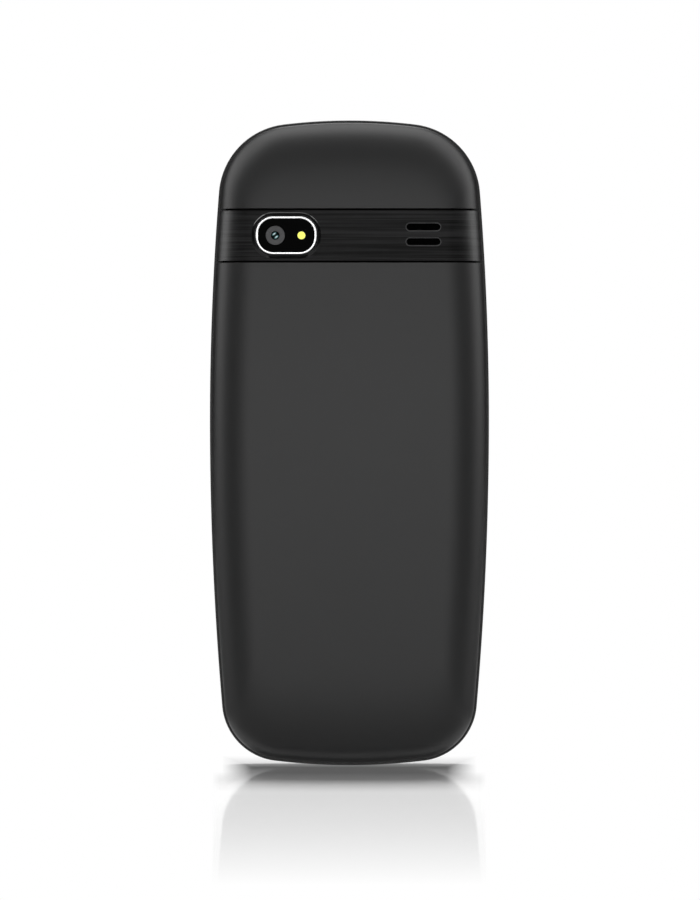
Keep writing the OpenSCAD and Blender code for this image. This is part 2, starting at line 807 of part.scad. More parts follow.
// Mouth of the USB port: a rectangle with its two corners at the back cut off.
module usb_mouth(inset) {
    w = usb_w / 2 - inset;
    t = usb_t / 2 - inset;
    translate([0, usb_y]) polygon([
        [-w, t], [-w, usb_cut - t], [usb_cut - w, -t], [w - usb_cut, -t], [w, usb_cut - t], [w, t],
    ]);
}

module usb_port() color("#b9bcc0") {
    translate([0, 0, usb_z]) difference() {
        linear_extrude(usb_h) usb_mouth(0);
        translate([0, 0, -past]) linear_extrude(usb_h + past - usb_floor) usb_mouth(usb_wall);
    }
    block(0, usb_z + usb_h / 2, tongue_w, usb_h - 2 * tongue_in, tongue_y, tongue_y + tongue_t);
}

module audio_jack() color("#1a1b1d") translate([jack_x, jack_y, jack_z]) difference() {
    union() {
        translate([0, 0, -jack_depth - jack_floor + jack_body.z / 2]) cube(jack_body, center = true);
        translate([0, 0, -jack_depth]) cylinder(r = jack_collar_r, h = jack_depth);
    }
    translate([0, 0, -jack_depth]) cylinder(r = jack_r, h = jack_depth + past);
}

module along_x(x, r, l) translate([x, motor_y, motor_z]) rotate([0, 90, 0]) cylinder(r = r, h = l);

module vibration_motor() color("#c2c5c8") {
    along_x(motor_x, motor_r, motor_l);
    along_x(motor_x + motor_l - touch, shaft_r, shaft_l);
}

// A half disc with a hub, so that it shakes when it spins.
module motor_weight() color("#77797c") difference() {
    union() {
        along_x(weight_x, weight_hub_r, weight_l);
        intersection() {
            along_x(weight_x, weight_r, weight_l);
            block(weight_x + weight_l / 2, motor_z - weight_r, weight_l + past, 2 * weight_r,
                motor_y - weight_r - past, motor_y + weight_r + past);
        }
    }
    along_x(weight_x - past, shaft_r + touch, weight_l + 2 * past);
}

module microphone() color("#c9ccd0")
    block(mic_x, mic_z, mic_w, mic_h, board_front_y + touch, board_front_y + touch + mic_t);

// Display, earpiece and keys

module display_window() color("#08090b")
    slab(window_seat_y + touch, front_y) translate([0, window_z]) rounded(window_w, window_h, window_r);

module display_module() color("#2c3036")
    block(0, window_z, display_w, display_h, display_back_y, display_front_y);

module earpiece() color("#3b3d40")
    slab(ear_front_y - ear_t, ear_front_y) translate([0, ear_z]) rounded(ear_w, ear_h, ear_r);

module earpiece_mesh() color("#0a0a0b")
    slab(face_in_y - touch - ear_mesh_t, face_in_y - touch)
        translate([0, ear_z]) rounded(ear_mesh_w, ear_mesh_h, ear_mesh_r);

function row_z(row) = keypad_margin + key_h / 2 + row * row_pitch;

// Places with a dome: under each key, the centre key and the four points of the navigation ring.
dome_spots = concat(
    [for (row = [0:3], column = [-1:1]) [column * column_pitch, row_z(row)]],
    [for (side = [-1, 1], up = [-1, 1]) [side * side_key_x, nav_z + up * side_key_rise]],
    [[0, nav_z]],
    [for (side = [-1, 1]) [side * nub_x, nav_z]],
    [for (up = [-1, 1]) [0, nav_z + up * nub_z]]
);

module sheet_plan(inset)
    translate([0, sheet_z + sheet_h / 2])
        rounded(sheet_w - 2 * inset, sheet_h - 2 * inset, sheet_r - inset);

module keypad_sheet() color("#4a4c50") difference() {
    slab(dome_sheet_y + touch, sheet_front_y) sheet_plan(0);
    slab(dome_sheet_y - past, sheet_back_y) sheet_plan(sheet_rim);
    for (s = dome_spots)
        rod(s.x, s.y, plunger_r + plunger_room, sheet_back_y - past, sheet_front_y + past);
    slab(sheet_back_y - past, sheet_front_y + past) translate([0, nav_z]) nav_plan(nav_hole_room);
}

module key_domes() color("#cfd2d5") {
    slab(dome_base_y, dome_sheet_y) sheet_plan(touch);
    for (s = dome_spots) translate([s.x, dome_sheet_y - touch, s.y]) rotate([-90, 0, 0])
        cylinder(r1 = dome_r, r2 = dome_r - dome_slope, h = dome_y - dome_sheet_y + touch);
}

// A key cap with a crowned top, a flange that holds it in, and a plunger over its dome.
module key(x, z, w, h) color("#1b1c1e") translate([x, 0, z]) {
    intersection() {
        slab(flange_back_y, key_y) key_plan(w, h, 0);
        translate([-w, key_y - key_crown_r, 0]) rotate([0, 90, 0])
            cylinder(r = key_crown_r, h = 2 * w, $fn = 200);
    }
    slab(flange_back_y, flange_front_y) key_plan(w, h, key_flange);
    rod(0, 0, plunger_r, plunger_y, flange_back_y + touch);
}

module nav_ring() color("#26282b") translate([0, 0, nav_z]) {
    difference() {
        union() {
            intersection() {
                slab(nav_flange_back_y, key_y) nav_plan(0);
                translate([0, key_y - nav_crown_r, 0]) sphere(r = nav_crown_r, $fn = 200);
            }
            slab(nav_flange_back_y, nav_flange_front_y) nav_plan(key_flange);
        }
        slab(nav_flange_back_y - past, key_y + past) centre_plan(centre_room);
        slab(nav_flange_back_y - past, nav_step_y) centre_plan(key_flange + centre_step_room);
    }
    for (side = [-1, 1]) rod(side * nub_x, 0, nub_r, plunger_y, nav_flange_back_y + touch);
}

// The ring rocks sideways on the pad's two front ridges, and the pad rocks up and down on two round
// rockers behind it.
module nav_pad() color("#4a4c50") translate([0, 0, nav_z]) {
    difference() {
        slab(pad_back_y, pad_front_y) nav_plan(-pad_margin);
        rod(0, 0, pad_hole_r, pad_back_y - past, pad_front_y + past);
        for (side = [-1, 1])
            rod(side * nub_x, 0, nub_r + nub_room, pad_back_y - past, pad_front_y + past);
    }
    for (up = [-1, 1]) {
        intersection() {
            translate([0, pad_front_y, up * nub_z - ridge_l / 2]) cylinder(r = ridge_r, h = ridge_l);
            block(0, up * nub_z, ridge_w, ridge_w, pad_front_y - touch, nav_flange_back_y);
        }
        rod(0, up * nub_z, nub_r, plunger_y, pad_back_y + touch);
    }
    for (side = [-1, 1]) intersection() {
        translate([side * rocker_x - rocker_l / 2, pad_back_y, 0]) rotate([0, 90, 0])
            cylinder(r = rocker_r, h = rocker_l);
        block(side * rocker_x, 0, rocker_l, 2 * rocker_r, dome_sheet_y, pad_back_y + touch);
    }
}

module centre_key() color("#3a3d41") translate([0, 0, nav_z]) {
    slab(centre_flange_back_y, key_y) centre_plan(0);
    slab(centre_flange_back_y, centre_flange_front_y) centre_plan(key_flange);
    rod(0, 0, plunger_r, plunger_y, centre_flange_back_y + touch);
}

front_cover();
rear_housing();
top_cap();
brushed_band();
battery_cover();
housing_screws();
camera_ring();
camera_window();
camera_module();
camera_lens();
flash_led();
loudspeaker();
speaker_mesh();
antenna_carrier();
antenna();
battery();
battery_terminals();
battery_contacts();
battery_springs();
main_board();
shield_can();
sim_sockets();
memory_card_socket();
usb_port();
audio_jack();
vibration_motor();
motor_weight();
microphone();
display_window();
display_module();
earpiece();
earpiece_mesh();
keypad_sheet();
key_domes();
nav_pad();
nav_ring();
centre_key();
// Seen from the front, the left column lies on the +X side.
for (row = [0:1], column = [0:1]) key((1 - 2 * column) * side_key_x, nav_z + (1 - 2 * row) * side_key_rise, side_key_w, side_key_h);
for (row = [0:3], column = [0:2]) key((1 - column) * column_pitch, row_z(3 - row), key_w, key_h);
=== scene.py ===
"""Finished look of a feature phone that stands with its back to the camera, over its packed CAD frame."""

import json
import math

import bmesh
import bpy
from bpy.props import FloatProperty, FloatVectorProperty, IntProperty, PointerProperty
from mathutils import Matrix, Quaternion, Vector


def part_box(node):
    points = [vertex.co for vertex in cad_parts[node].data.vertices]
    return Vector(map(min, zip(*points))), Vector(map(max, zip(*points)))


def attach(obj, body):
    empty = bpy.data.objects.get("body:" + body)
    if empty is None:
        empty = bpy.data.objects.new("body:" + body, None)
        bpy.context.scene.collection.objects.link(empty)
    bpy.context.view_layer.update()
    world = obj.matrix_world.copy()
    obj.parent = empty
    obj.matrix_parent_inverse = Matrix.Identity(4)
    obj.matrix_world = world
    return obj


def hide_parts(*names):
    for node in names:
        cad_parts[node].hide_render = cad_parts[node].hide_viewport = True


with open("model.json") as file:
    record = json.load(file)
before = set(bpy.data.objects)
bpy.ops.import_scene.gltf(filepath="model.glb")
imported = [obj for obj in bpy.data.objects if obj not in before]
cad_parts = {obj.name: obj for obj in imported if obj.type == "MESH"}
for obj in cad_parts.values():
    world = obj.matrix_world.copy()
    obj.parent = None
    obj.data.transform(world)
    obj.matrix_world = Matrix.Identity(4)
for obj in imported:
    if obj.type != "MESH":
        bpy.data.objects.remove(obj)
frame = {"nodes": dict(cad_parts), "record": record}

bl_info = {
    "name": "Feature phone",
    "version": (1, 0, 0),
    "blender": (4, 5, 0),
    "location": "View3D > Sidebar > Phone",
    "description": "Builds the shells, camera, speaker, keys and inner pieces of a feature phone",
    "category": "Object",
}

MM = 0.001
TURN = 2 * math.pi
# Edges that turn by more degrees than this stay sharp
SHARP = 35.0
# Points of a mesh that are nearer than this are one point
SAME = 1e-7
# Distance from the phone's middle at which a cutter is clear of it
CLEAR = 0.02
# A ring this far inside the edge of a flat keeps its shading level
FLAT_RING = 0.4 * MM
# Grain and mottle of moulded plastic, as noise to the metre, and the depth of any grain
GRAIN = 5200.0
MOTTLE = 90.0
GRAIN_DEPTH = 0.02 * MM
# Places of the colour sockets of a Mix node, whose names repeat
MIX_FACTOR = 0
MIX_FIRST = 6
MIX_SECOND = 7
MIX_RESULT = 2
# Corners of the display window and of the navigation ring
WINDOW_CORNER = 3.5 * MM
NAV_CORNER = 6 * MM
# Letters beside the digits
LETTERS = {
    "2": "abc",
    "3": "def",
    "4": "ghi",
    "5": "jkl",
    "6": "mno",
    "7": "pqrs",
    "8": "tuv",
    "9": "wxyz",
}


def length(name, description, default_mm):
    """A size in the sidebar, given in millimetres and kept in metres."""
    default = default_mm * MM
    return FloatProperty(name=name, description=description, default=default, unit="LENGTH", precision=5)


def number(name, description, default):
    """A count in the sidebar."""
    return IntProperty(name=name, description=description, default=default)


def portion(name, description, default):
    """A share in the sidebar."""
    return FloatProperty(name=name, description=description, default=default)


def tint(name, description, default):
    """A linear colour in the sidebar."""
    return FloatVectorProperty(
        name=name, description=description, default=default, subtype="COLOR", size=3
    )


def glow(name, description, default):
    """A brightness in the sidebar, where 1 is white."""
    return FloatProperty(name=name, description=description, default=default, min=0.0)


class PhoneOutline(bpy.types.PropertyGroup):
    """Arcs of the outline, as the CAD model has them."""

    waist: length("Waist", "Height of the widest point", 62)
    side_high: length("Upper side", "Radius of the long sides above the waist", 520)
    side_low: length("Lower side", "Radius of the long sides below the waist", 600)
    top: length("Top", "Radius of the top edge", 98)
    bottom: length("Bottom", "Radius of the bottom edge", 111)
    corner_high: length("Top corners", "Radius of the top corners", 13.3)
    corner_low: length("Bottom corners", "Radius of the bottom corners", 10.8)
    side_steps: number("Side steps", "Points along half a long side", 18)
    corner_steps: number("Corner steps", "Points round a corner", 20)
    end_steps: number("End steps", "Points along half an end", 10)


class PhoneShell(bpy.types.PropertyGroup):
    """Sections of the shells."""

    ledge: length("Ledge", "Ledge of the front cover round the back", 0.45)
    wall: length("Wall", "Wall of the back shells", 1.3)
    edge_depth: length("Edge depth", "Depth of the rounded edge of the back", 4.1)
    edge_reach: length("Side reach", "Reach of the rounded edge in from the sides", 6.95)
    end_reach: length("End reach", "Reach of the slow curve in from the ends", 22)
    side_wall: length("Side wall", "Wall of the front cover's sides", 1.5)
    lean: length("Lean", "Inward lean of the front cover's sides", 0.3)
    front_depth: length("Front depth", "Depth of the front cover's rounded edge", 3.6)
    front_reach: length("Front reach", "Reach of the front cover's rounded edge", 2.8)
    face: length("Face", "Thickness of the front cover's face", 1.5)
    seat: length("Seat", "Depth of the display window's seat", 0.95)
    seam_round: length("Seam round", "Rounding of the edges along the seams", 0.1)
    seam_clear: length("Seam clearance", "Shells held back from the seams", 0.07)
    rows: number("Rows", "Rings round the edge of a shell", 26)


class PhoneCamera(bpy.types.PropertyGroup):
    """Camera, flash and speaker slots."""

    ring: length("Ring", "Width of the bright ring", 0.33)
    corner: length("Corner", "Corner radius of the ring", 3.1)
    collar: length("Collar", "Width of the collar round the ring", 0.75)
    gap: length("Gap", "Gap between the ring and the collar", 0.18)
    slot_w: length("Slot width", "Width of a speaker slot", 6.1)
    slot_h: length("Slot height", "Height of a speaker slot", 1.28)
    slot_pitch: length("Slot pitch", "Spacing of the speaker slots", 2.65)
    slot_rim: length("Slot rim", "Width of the bare edge of a slot", 0.15)
    wire: length("Wire", "Radius of a wire in the meshes", 0.045)
    wire_pitch: length("Wire pitch", "Spacing of the wires in the meshes", 0.26)


class PhoneKeys(bpy.types.PropertyGroup):
    """Keys and their legends."""

    corner: portion("Corner", "Corner radius as a share of a key's height", 0.32)
    crown: length("Crown", "Radius of a key's crown", 19)
    edge: length("Edge", "Drop of a key's rounded edge", 0.16)
    room: length("Room", "Gap between a key and its hole", 0.2)
    digit: length("Digit", "Height of the digits", 2.9)
    letter: length("Letter", "Height of the letters", 1.45)
    ink: length("Ink", "Thickness of the legends", 0.02)


class PhoneInside(bpy.types.PropertyGroup):
    """Screws and card contacts."""

    head: length("Screw head", "Radius of a screw's head", 1.3)
    head_t: length("Head thickness", "Thickness of a screw's head", 0.6)
    shank: length("Screw shank", "Radius of a screw's shank", 0.75)
    pad_columns: number("Pad columns", "Columns of contacts in a card socket", 2)
    pad_rows: number("Pad rows", "Rows of contacts in a card socket", 3)
    pad_w: length("Pad spread", "Width over the contacts of a card socket", 5.4)
    pad_h: length("Pad rise", "Height over the contacts of a card socket", 5.0)


class PhoneFinish(bpy.types.PropertyGroup):
    """Colours of the outside."""

    shell: tint("Shell", "Satin back shells", (0.012, 0.012, 0.0122))
    rim: tint("Rim", "Front cover", (0.004, 0.004, 0.0042))
    band: tint("Band", "Brushed band", (0.006, 0.006, 0.0062))
    slot_edge: tint("Slot edge", "Bare edges of the speaker slots", (0.045, 0.045, 0.0465))
    chrome: tint("Chrome", "Camera ring", (0.9, 0.9, 0.91))
    nose: tint("Nose", "Nose of the camera", (0.045, 0.045, 0.048))
    flash: tint("Flash", "Flash", (1.0, 1.0, 0.13))
    legend: tint("Legend", "Legends of the keys", (0.75, 0.76, 0.78))


class PhoneStage(bpy.types.PropertyGroup):
    """Floor, lamps and camera."""

    distance: length("Distance", "Distance of the camera", 1200)
    view_height: length("View height", "Height of the camera above the floor", 56.7)
    view_span: length("View span", "Height of the picture at the phone", 161.9)
    front_glow: glow("Front softbox", "Brightness of the softbox behind the camera", 1.6)
    top_glow: glow("Top strip", "Brightness of the strip above", 2.0)
    key_glow: glow("Key lamp", "Brightness of the lamp above and behind", 66.0)
    side_glow: glow("Side softboxes", "Brightness of the softboxes at the sides", 1.75)
    kick_glow: glow("Kickers", "Brightness of the small strips at the upper left and right", 4.6)
    rear_glow: glow("Rear softbox", "Brightness of the softbox on the keys' side", 0.8)
    bounce: glow("Bounce cards", "Brightness of the grey cards on the floor", 0.38)
    room: glow("Room", "Brightness of the room", 0.17)
    shadow_reach: length("Shadow reach", "Distance in front up to which the contact shadow lies", 68)
    mirror_reach: length("Mirror reach", "Distance in front at which the floor starts to fade", 108)
    fade_reach: length("Fade reach", "Distance in front at which the floor is all white", 332)
    shadow_side: length("Shadow side", "Half width at which the contact shadow starts to fade", 17.6)
    fade_side: length("Fade side", "Half width at which the contact shadow is gone", 23)
    mirror_side: length("Mirror side", "Half width of the mirrored part of the floor", 23.4)
    mirror: portion("Mirror", "Share of the floor's light that it mirrors", 0.4)
    dulling: portion("Dulling", "How much darker the contact shadow is", 0.52)


# Shader and node trees


class Wire:
    """An output of a node tree that can be reckoned with like a number."""

    def __init__(self, graph, socket):
        self.graph = graph
        self.socket = socket

    def reckon(self, operation, *others):
        """This value and others through one Math node."""
        return self.graph.math(operation, self, *others)

    def __add__(self, other):
        return self.reckon("ADD", other)

    __radd__ = __add__

    def __sub__(self, other):
        return self.reckon("SUBTRACT", other)

    def __rsub__(self, other):
        return self.graph.math("SUBTRACT", other, self)

    def __mul__(self, other):
        return self.reckon("MULTIPLY", other)

    __rmul__ = __mul__

    def __truediv__(self, other):
        return self.reckon("DIVIDE", other)

    def __pow__(self, other):
        return self.reckon("POWER", other)

    def between(self, low, high):
        """Held between two limits."""
        return self.reckon("MAXIMUM", low).reckon("MINIMUM", high)

    def ramp(self, low, high):
        """0 at low, 1 at high and straight between."""
        return ((self - low) / (high - low)).between(0.0, 1.0)


class Graph:
    """A shader or geometry tree under construction."""

    def __init__(self, tree):
        self.tree = tree

    def add(self, kind, settings=None, **sockets):
        """Adds one node: its settings first, then its sockets by name."""
        made = self.tree.nodes.new(kind)
        for name, value in (settings or {}).items():
            setattr(made, name, value)
        for name, value in sockets.items():
            self.feed(made.inputs[name.replace("_", " ")], value)
        return made

    def feed(self, socket, value):
        """Links a wire to a socket, or sets the socket's own value."""
        if isinstance(value, Wire):
            self.tree.links.new(value.socket, socket)
        else:
            socket.default_value = value

    def out(self, made, name):
        """One output of a node as a wire."""
        return Wire(self, made.outputs[name])

    def math(self, operation, *values):
        """One Math node."""
        made = self.add("ShaderNodeMath", {"operation": operation})
        for socket, value in zip(made.inputs, values):
            self.feed(socket, value)
        return Wire(self, made.outputs[0])

    def vector(self, x, y, z):
        """Three numbers as one vector."""
        return self.out(self.add("ShaderNodeCombineXYZ", X=x, Y=y, Z=z), "Vector")

    def scaled(self, vector, by):
        """A vector times another, axis by axis."""
        made = self.add("ShaderNodeVectorMath", {"operation": "MULTIPLY"})
        self.feed(made.inputs[0], vector)
        self.feed(made.inputs[1], by)
        return Wire(self, made.outputs[0])

    def blend(self, factor, first, second):
        """A colour between two colours."""
        made = self.add("ShaderNodeMix", {"data_type": "RGBA"})
        self.feed(made.inputs[MIX_FACTOR], factor)
        for place, value in ((MIX_FIRST, first), (MIX_SECOND, second)):
            self.feed(made.inputs[place], value if isinstance(value, Wire) else (*value, 1.0))
        return Wire(self, made.outputs[MIX_RESULT])

    def moved(self, geometry, by=(0.0, 0.0, 0.0), turn=(0.0, 0.0, 0.0)):
        """A geometry turned and then moved."""
        made = self.add("GeometryNodeTransform", Geometry=geometry, Translation=by, Rotation=turn)
        return self.out(made, "Geometry")

    def spread(self, points, piece):
        """A piece on every point of a geometry."""
        made = self.add("GeometryNodeInstanceOnPoints", Points=points, Instance=piece)
        return self.out(made, "Instances")


class Surface(Graph):
    """A material with one Principled shader, and what its patterns start from."""

    def __init__(self, name):
        self.material = bpy.data.materials.new(name)
        self.material.use_nodes = True
        super().__init__(self.material.node_tree)
        self.shader = self.tree.nodes["Principled BSDF"]
        self.place = self.out(self.add("ShaderNodeTexCoord"), "Object")

    def noise(self, scale, stretch=(1, 1, 1), detail=3.0):
        """Noise in metres, drawn out along the axes with a small stretch."""
        place = self.scaled(self.place, tuple(scale * s for s in stretch))
        return self.out(self.add("ShaderNodeTexNoise", Vector=place, Scale=1.0, Detail=detail), "Fac")

    def bump(self, height, strength, distance):
        """Feeds a height to the shader's normal."""
        made = self.add("ShaderNodeBump", Strength=strength, Distance=distance, Height=height)
        self.set(Normal=self.out(made, "Normal"))

    def moulded(self, colour, grain):
        """Moulded plastic: its mottled colour and its fine grain, which also goes to the normal."""
        mottle = self.noise(MOTTLE, detail=4.0)
        fine = self.noise(GRAIN, detail=2.0)
        self.bump(fine, grain, GRAIN_DEPTH)
        return self.blend(mottle, shade(colour, 0.9), shade(colour, 1.1)), fine

    def set(self, **sockets):
        """Sets or feeds sockets of the Principled shader."""
        for name, value in sockets.items():
            self.feed(self.shader.inputs[name.replace("_", " ")], value)

    def parts(self):
        """X, Y and Z of the place as numbers."""
        made = self.add("ShaderNodeSeparateXYZ", Vector=self.place)
        return [self.out(made, axis) for axis in "XYZ"]


def shade(colour, by):
    """A colour made lighter or darker."""
    return tuple(min(1.0, c * by) for c in colour)


def plastic(name, colour, roughness=0.42, grain=0.12, gleam=0.5):
    """Moulded plastic with a fine grain and a faint mottle."""
    made = Surface(name)
    mottled, fine = made.moulded(colour, grain)
    made.set(Base_Color=mottled, Roughness=roughness - 0.04 + 0.08 * fine, Specular_IOR_Level=gleam)
    return made.material


def metal(name, colour, roughness=0.3, stretch=(1, 1, 1), grain=0.1):
    """Bare metal; a stretch draws its grain out into brushing."""
    made = Surface(name)
    fine = made.noise(2600.0, stretch)
    made.set(Base_Color=made.blend(fine, shade(colour, 0.85), shade(colour, 1.1)))
    made.set(Roughness=roughness - 0.06 + 0.12 * fine, Metallic=1.0)
    made.bump(fine, grain, GRAIN_DEPTH)
    return made.material


def gloss(name, colour, roughness=0.06):
    """Polished plastic or glass over a dark ground, with faint dust in its gloss."""
    made = Surface(name)
    haze = made.noise(300.0)
    made.set(Base_Color=made.blend(haze, shade(colour, 0.8), shade(colour, 1.2)))
    made.set(Roughness=roughness + 0.03 * haze, Coat_Weight=0.3)
    return made.material


def smoked(name):
    """Black window with a coating that throws little back."""
    made = Surface(name)
    haze = made.noise(300.0)
    made.set(Base_Color=made.blend(haze, (0.0003, 0.0003, 0.0004), (0.0006, 0.0006, 0.0007)))
    made.set(Roughness=0.08 + 0.04 * haze, Specular_IOR_Level=0.01)
    return made.material


def brushed(name, colour):
    """Dark lacquered metal with level brushing."""
    made = Surface(name)
    broad = made.noise(2300.0, (0.012, 0.03, 1), 3.0)
    fine = made.noise(5600.0, (0.008, 0.03, 1), 2.0)
    streak = 0.5 * broad + 0.5 * fine
    turned = made.out(made.add("ShaderNodeLayerWeight", Blend=0.5), "Facing")
    made.set(Base_Color=made.blend(streak.ramp(0.42, 0.58), shade(colour, 0.1), shade(colour, 3.2)))
    made.set(Roughness=0.32 + 0.2 * fine, Specular_IOR_Level=0.12)
    coat = turned.ramp(0.015, 0.2) * (0.75 + 0.5 * streak).between(0.0, 1.0)
    made.set(Coat_Weight=coat, Coat_Roughness=0.4)
    made.bump(streak, 0.3, 0.03 * MM)
    return made.material


def lens_glass(name, centre, radius):
    """Coated lens: black, with a painted highlight, teal at its edge and pale at its core, above and
    below a slanting dark bar.
    """
    made = Surface(name)
    x, _, z = made.parts()
    across = (x - centre.x) / radius
    up = (z - centre.z) / radius
    slant = (0.81 * up - 0.59 * across).reckon("ABSOLUTE")
    along = (0.59 * up + 0.81 * across).reckon("ABSOLUTE")
    # Painted highlight: two crescents set into the base colour by their place on the lens
    painted_highlight = slant.ramp(0.14, 0.4) * (1.0 - slant.ramp(0.5, 0.8)) * (1.0 - along.ramp(0.15, 0.7))
    painted_glint_colour = made.blend(painted_highlight.ramp(0.0, 0.5), (0.002, 0.003, 0.003), (0.05, 0.2, 0.2))
    made.set(Base_Color=made.blend(painted_highlight.ramp(0.4, 0.9), painted_glint_colour, (0.8, 0.95, 1.0)))
    made.set(Roughness=0.06 + 0.04 * made.noise(900.0), Specular_IOR_Level=0.05)
    return made.material


def flash_resin(name, colour, centre):
    """Yellow phosphor under clear resin with fine rings, in a dark housing; the phosphor has a faint
    painted glow.
    """
    made = Surface(name)
    pitch = 0.16 * MM
    edge = 0.67 * MM
    x, _, z = made.parts()
    across = x - centre.x
    up = z - centre.z
    out = (across * across + up * up) ** 0.5
    rings = (out * (TURN / pitch)).reckon("SINE") * 0.5 + 0.5
    housing = out.ramp(edge, edge + 0.03 * MM)
    resin = made.blend(rings, shade(colour, 0.96), colour)
    made.set(Base_Color=made.blend(housing, resin, (0.01, 0.01, 0.01)))
    # Painted glow: the phosphor emits faintly, though the flash is off
    made.set(Emission_Color=made.blend(housing, resin, (0.0, 0.0, 0.0)), Emission_Strength=0.5)
    made.set(Roughness=0.25 + 0.05 * rings)
    return made.material


def circuit(name, colour):
    """Solder mask with the copper under it showing as lighter tracks."""
    made = Surface(name)
    place = made.scaled(made.place, (1.0, 0.0, 1.0))
    cells = made.add("ShaderNodeTexVoronoi", {"distance": "CHEBYCHEV"}, Vector=place, Scale=700.0)
    tracks = made.out(cells, "Distance").ramp(0.3, 0.42)
    made.set(Base_Color=made.blend(tracks, shade(colour, 1.9), colour))
    made.set(Roughness=0.3 + 0.15 * tracks)
    return made.material


def chassis(name, colour):
    """Inner plastic with painted black shade in a strip under each seam of the back, so that the seams
    show dark.
    """
    made = Surface(name)
    low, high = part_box("brushed_band")
    z = made.parts()[2]
    lower = (z - low.z).reckon("ABSOLUTE")
    upper = (z - high.z).reckon("ABSOLUTE")
    # Painted shade: black and rough within a strip under each seam
    strip = 1.0 - lower.reckon("MINIMUM", upper).ramp(0.5 * MM, 0.56 * MM)
    mottled, fine = made.moulded(colour, 0.12)
    made.set(Base_Color=made.blend(strip, mottled, (0.001, 0.001, 0.001)))
    made.set(Roughness=0.46 + 0.08 * fine + 0.4 * strip)
    return made.material


def wrapped(name, colour):
    """Printed wrap of the battery: a dark field with a lighter border and a thin line."""
    made = Surface(name)
    low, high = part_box("battery")
    x, _, z = made.parts()
    side = (high.x - x).reckon("MINIMUM", x - low.x)
    end = (high.z - z).reckon("MINIMUM", z - low.z)
    inset = side.reckon("MINIMUM", end)
    field = inset.ramp(2.5 * MM, 2.6 * MM)
    line = inset.ramp(3.1 * MM, 3.15 * MM) * (1.0 - inset.ramp(3.35 * MM, 3.4 * MM))
    paper = made.blend(field, shade(colour, 2.6), shade(colour, 0.55))
    made.set(Base_Color=made.blend(line, paper, (0.42, 0.43, 0.45)))
    made.set(Roughness=0.38 + 0.1 * made.noise(400.0))
    return made.material


# Meshes


def smooth(mesh):
    """Shades a mesh smooth, but for its sharp edges."""
    mesh.shade_smooth()
    mesh.set_sharp_from_angle(angle=math.radians(SHARP))


def merged(mesh):
    """A mesh opened for editing, with its doubled points joined."""
    bm = bmesh.new()
    bm.from_mesh(mesh)
    bmesh.ops.remove_doubles(bm, verts=bm.verts, dist=SAME)
    return bm


def to_object(name, mesh, material=None):
    """Links a smooth mesh as an object at the origin."""
    smooth(mesh)
    if material:
        mesh.materials.clear()
        mesh.materials.append(material)
    made = bpy.data.objects.new(name, mesh)
    bpy.context.scene.collection.objects.link(made)
    return made


def loft(name, rings, closed=False, material=None):
    """A solid through rings of equal length, capped at both ends or closed into a loop."""
    bm = bmesh.new()
    rows = [[bm.verts.new(p) for p in ring] for ring in rings]
    count = len(rings[0])
    after = rows[1:] + rows[:1] if closed else rows[1:]
    for a, b in zip(rows, after):
        for i in range(count):
            j = (i + 1) % count
            bm.faces.new((a[i], b[i], b[j], a[j]))
    if not closed:
        bm.faces.new(rows[0])
        bm.faces.new(rows[-1])
    bmesh.ops.recalc_face_normals(bm, faces=bm.faces)
    mesh = bpy.data.meshes.new(name)
    bm.to_mesh(mesh)
    bm.free()
    return to_object(name, mesh, material)


def rounded(x, z, w, h, r, grow=0.0, steps=12):
    """A rounded rectangle in X-Z about a point, grown by an offset."""
    r = max(r + grow, 0.01 * MM)
    half_w = max(w / 2 + grow - r, 0.0)
    half_h = max(h / 2 + grow - r, 0.0)
    corners = ((1, 1, 0.0), (-1, 1, 0.25), (-1, -1, 0.5), (1, -1, 0.75))
    return [
        (x + sx * half_w + r * math.cos(t), z + sz * half_h + r * math.sin(t))
        for sx, sz, start in corners
        for t in (TURN * (start + 0.25 * i / steps) for i in range(steps + 1))
    ]


def disc(x, z, radius):
    """A circle as a rounded rectangle."""
    return (x, z, 2 * radius, 2 * radius, radius)


def quarter_round(reach, y, depth, steps):
    """Profile of an edge that runs inwards by a reach and, over a depth, up to a level."""
    turns = [TURN / 4 * i / steps for i in range(1, steps + 1)]
    return [(-reach * (1 - math.cos(t)), y + depth * (1 - math.sin(t))) for t in turns]


def moulding(name, shape, profile, closed=False, material=None):
    """Sweeps a profile of (offset, depth) pairs round a rounded rectangle."""
    rings = [[Vector((x, y, z)) for x, z in rounded(*shape, grow=grow)] for grow, y in profile]
    return loft(name, rings, closed, material)


def prism(shape, y0, y1):
    """A plain bar along Y, to carve with."""
    return moulding("cutter", shape, [(0.0, y0), (0.0, y1)])


def post(shape, z0, z1):
    """A plain bar along Z, with its shape in X-Y, to carve with."""
    made = prism(shape, z0, z1)
    made.data.transform(Matrix(((1, 0, 0, 0), (0, 0, 1, 0), (0, 1, 0, 0), (0, 0, 0, 1))))
    made.data.flip_normals()
    return made


def bake(piece):
    """Turns a piece's modifiers into its own mesh."""
    seen = piece.evaluated_get(bpy.context.evaluated_depsgraph_get())
    mesh = bpy.data.meshes.new_from_object(seen)
    old = piece.data
    piece.modifiers.clear()
    piece.data = mesh
    mesh.name = piece.name
    bpy.data.meshes.remove(old)
    return piece


def carve(piece, *cutters, operation="DIFFERENCE"):
    """Cuts a piece with other solids, which go away."""
    for cutter in cutters:
        step = piece.modifiers.new("carve", "BOOLEAN")
        step.operation = operation
        step.solver = "EXACT"
        step.object = cutter
    bake(piece)
    for cutter in cutters:
        bpy.data.meshes.remove(cutter.data)
    smooth(piece.data)
    return piece


def soften(piece, width, angle=40.0, segments=2):
    """Rounds the sharp edges of a piece a little."""
    step = piece.modifiers.new("soften", "BEVEL")
    step.width = width
    step.segments = segments
    step.limit_method = "ANGLE"
    step.angle_limit = math.radians(angle)
    step.harden_normals = True
    return piece


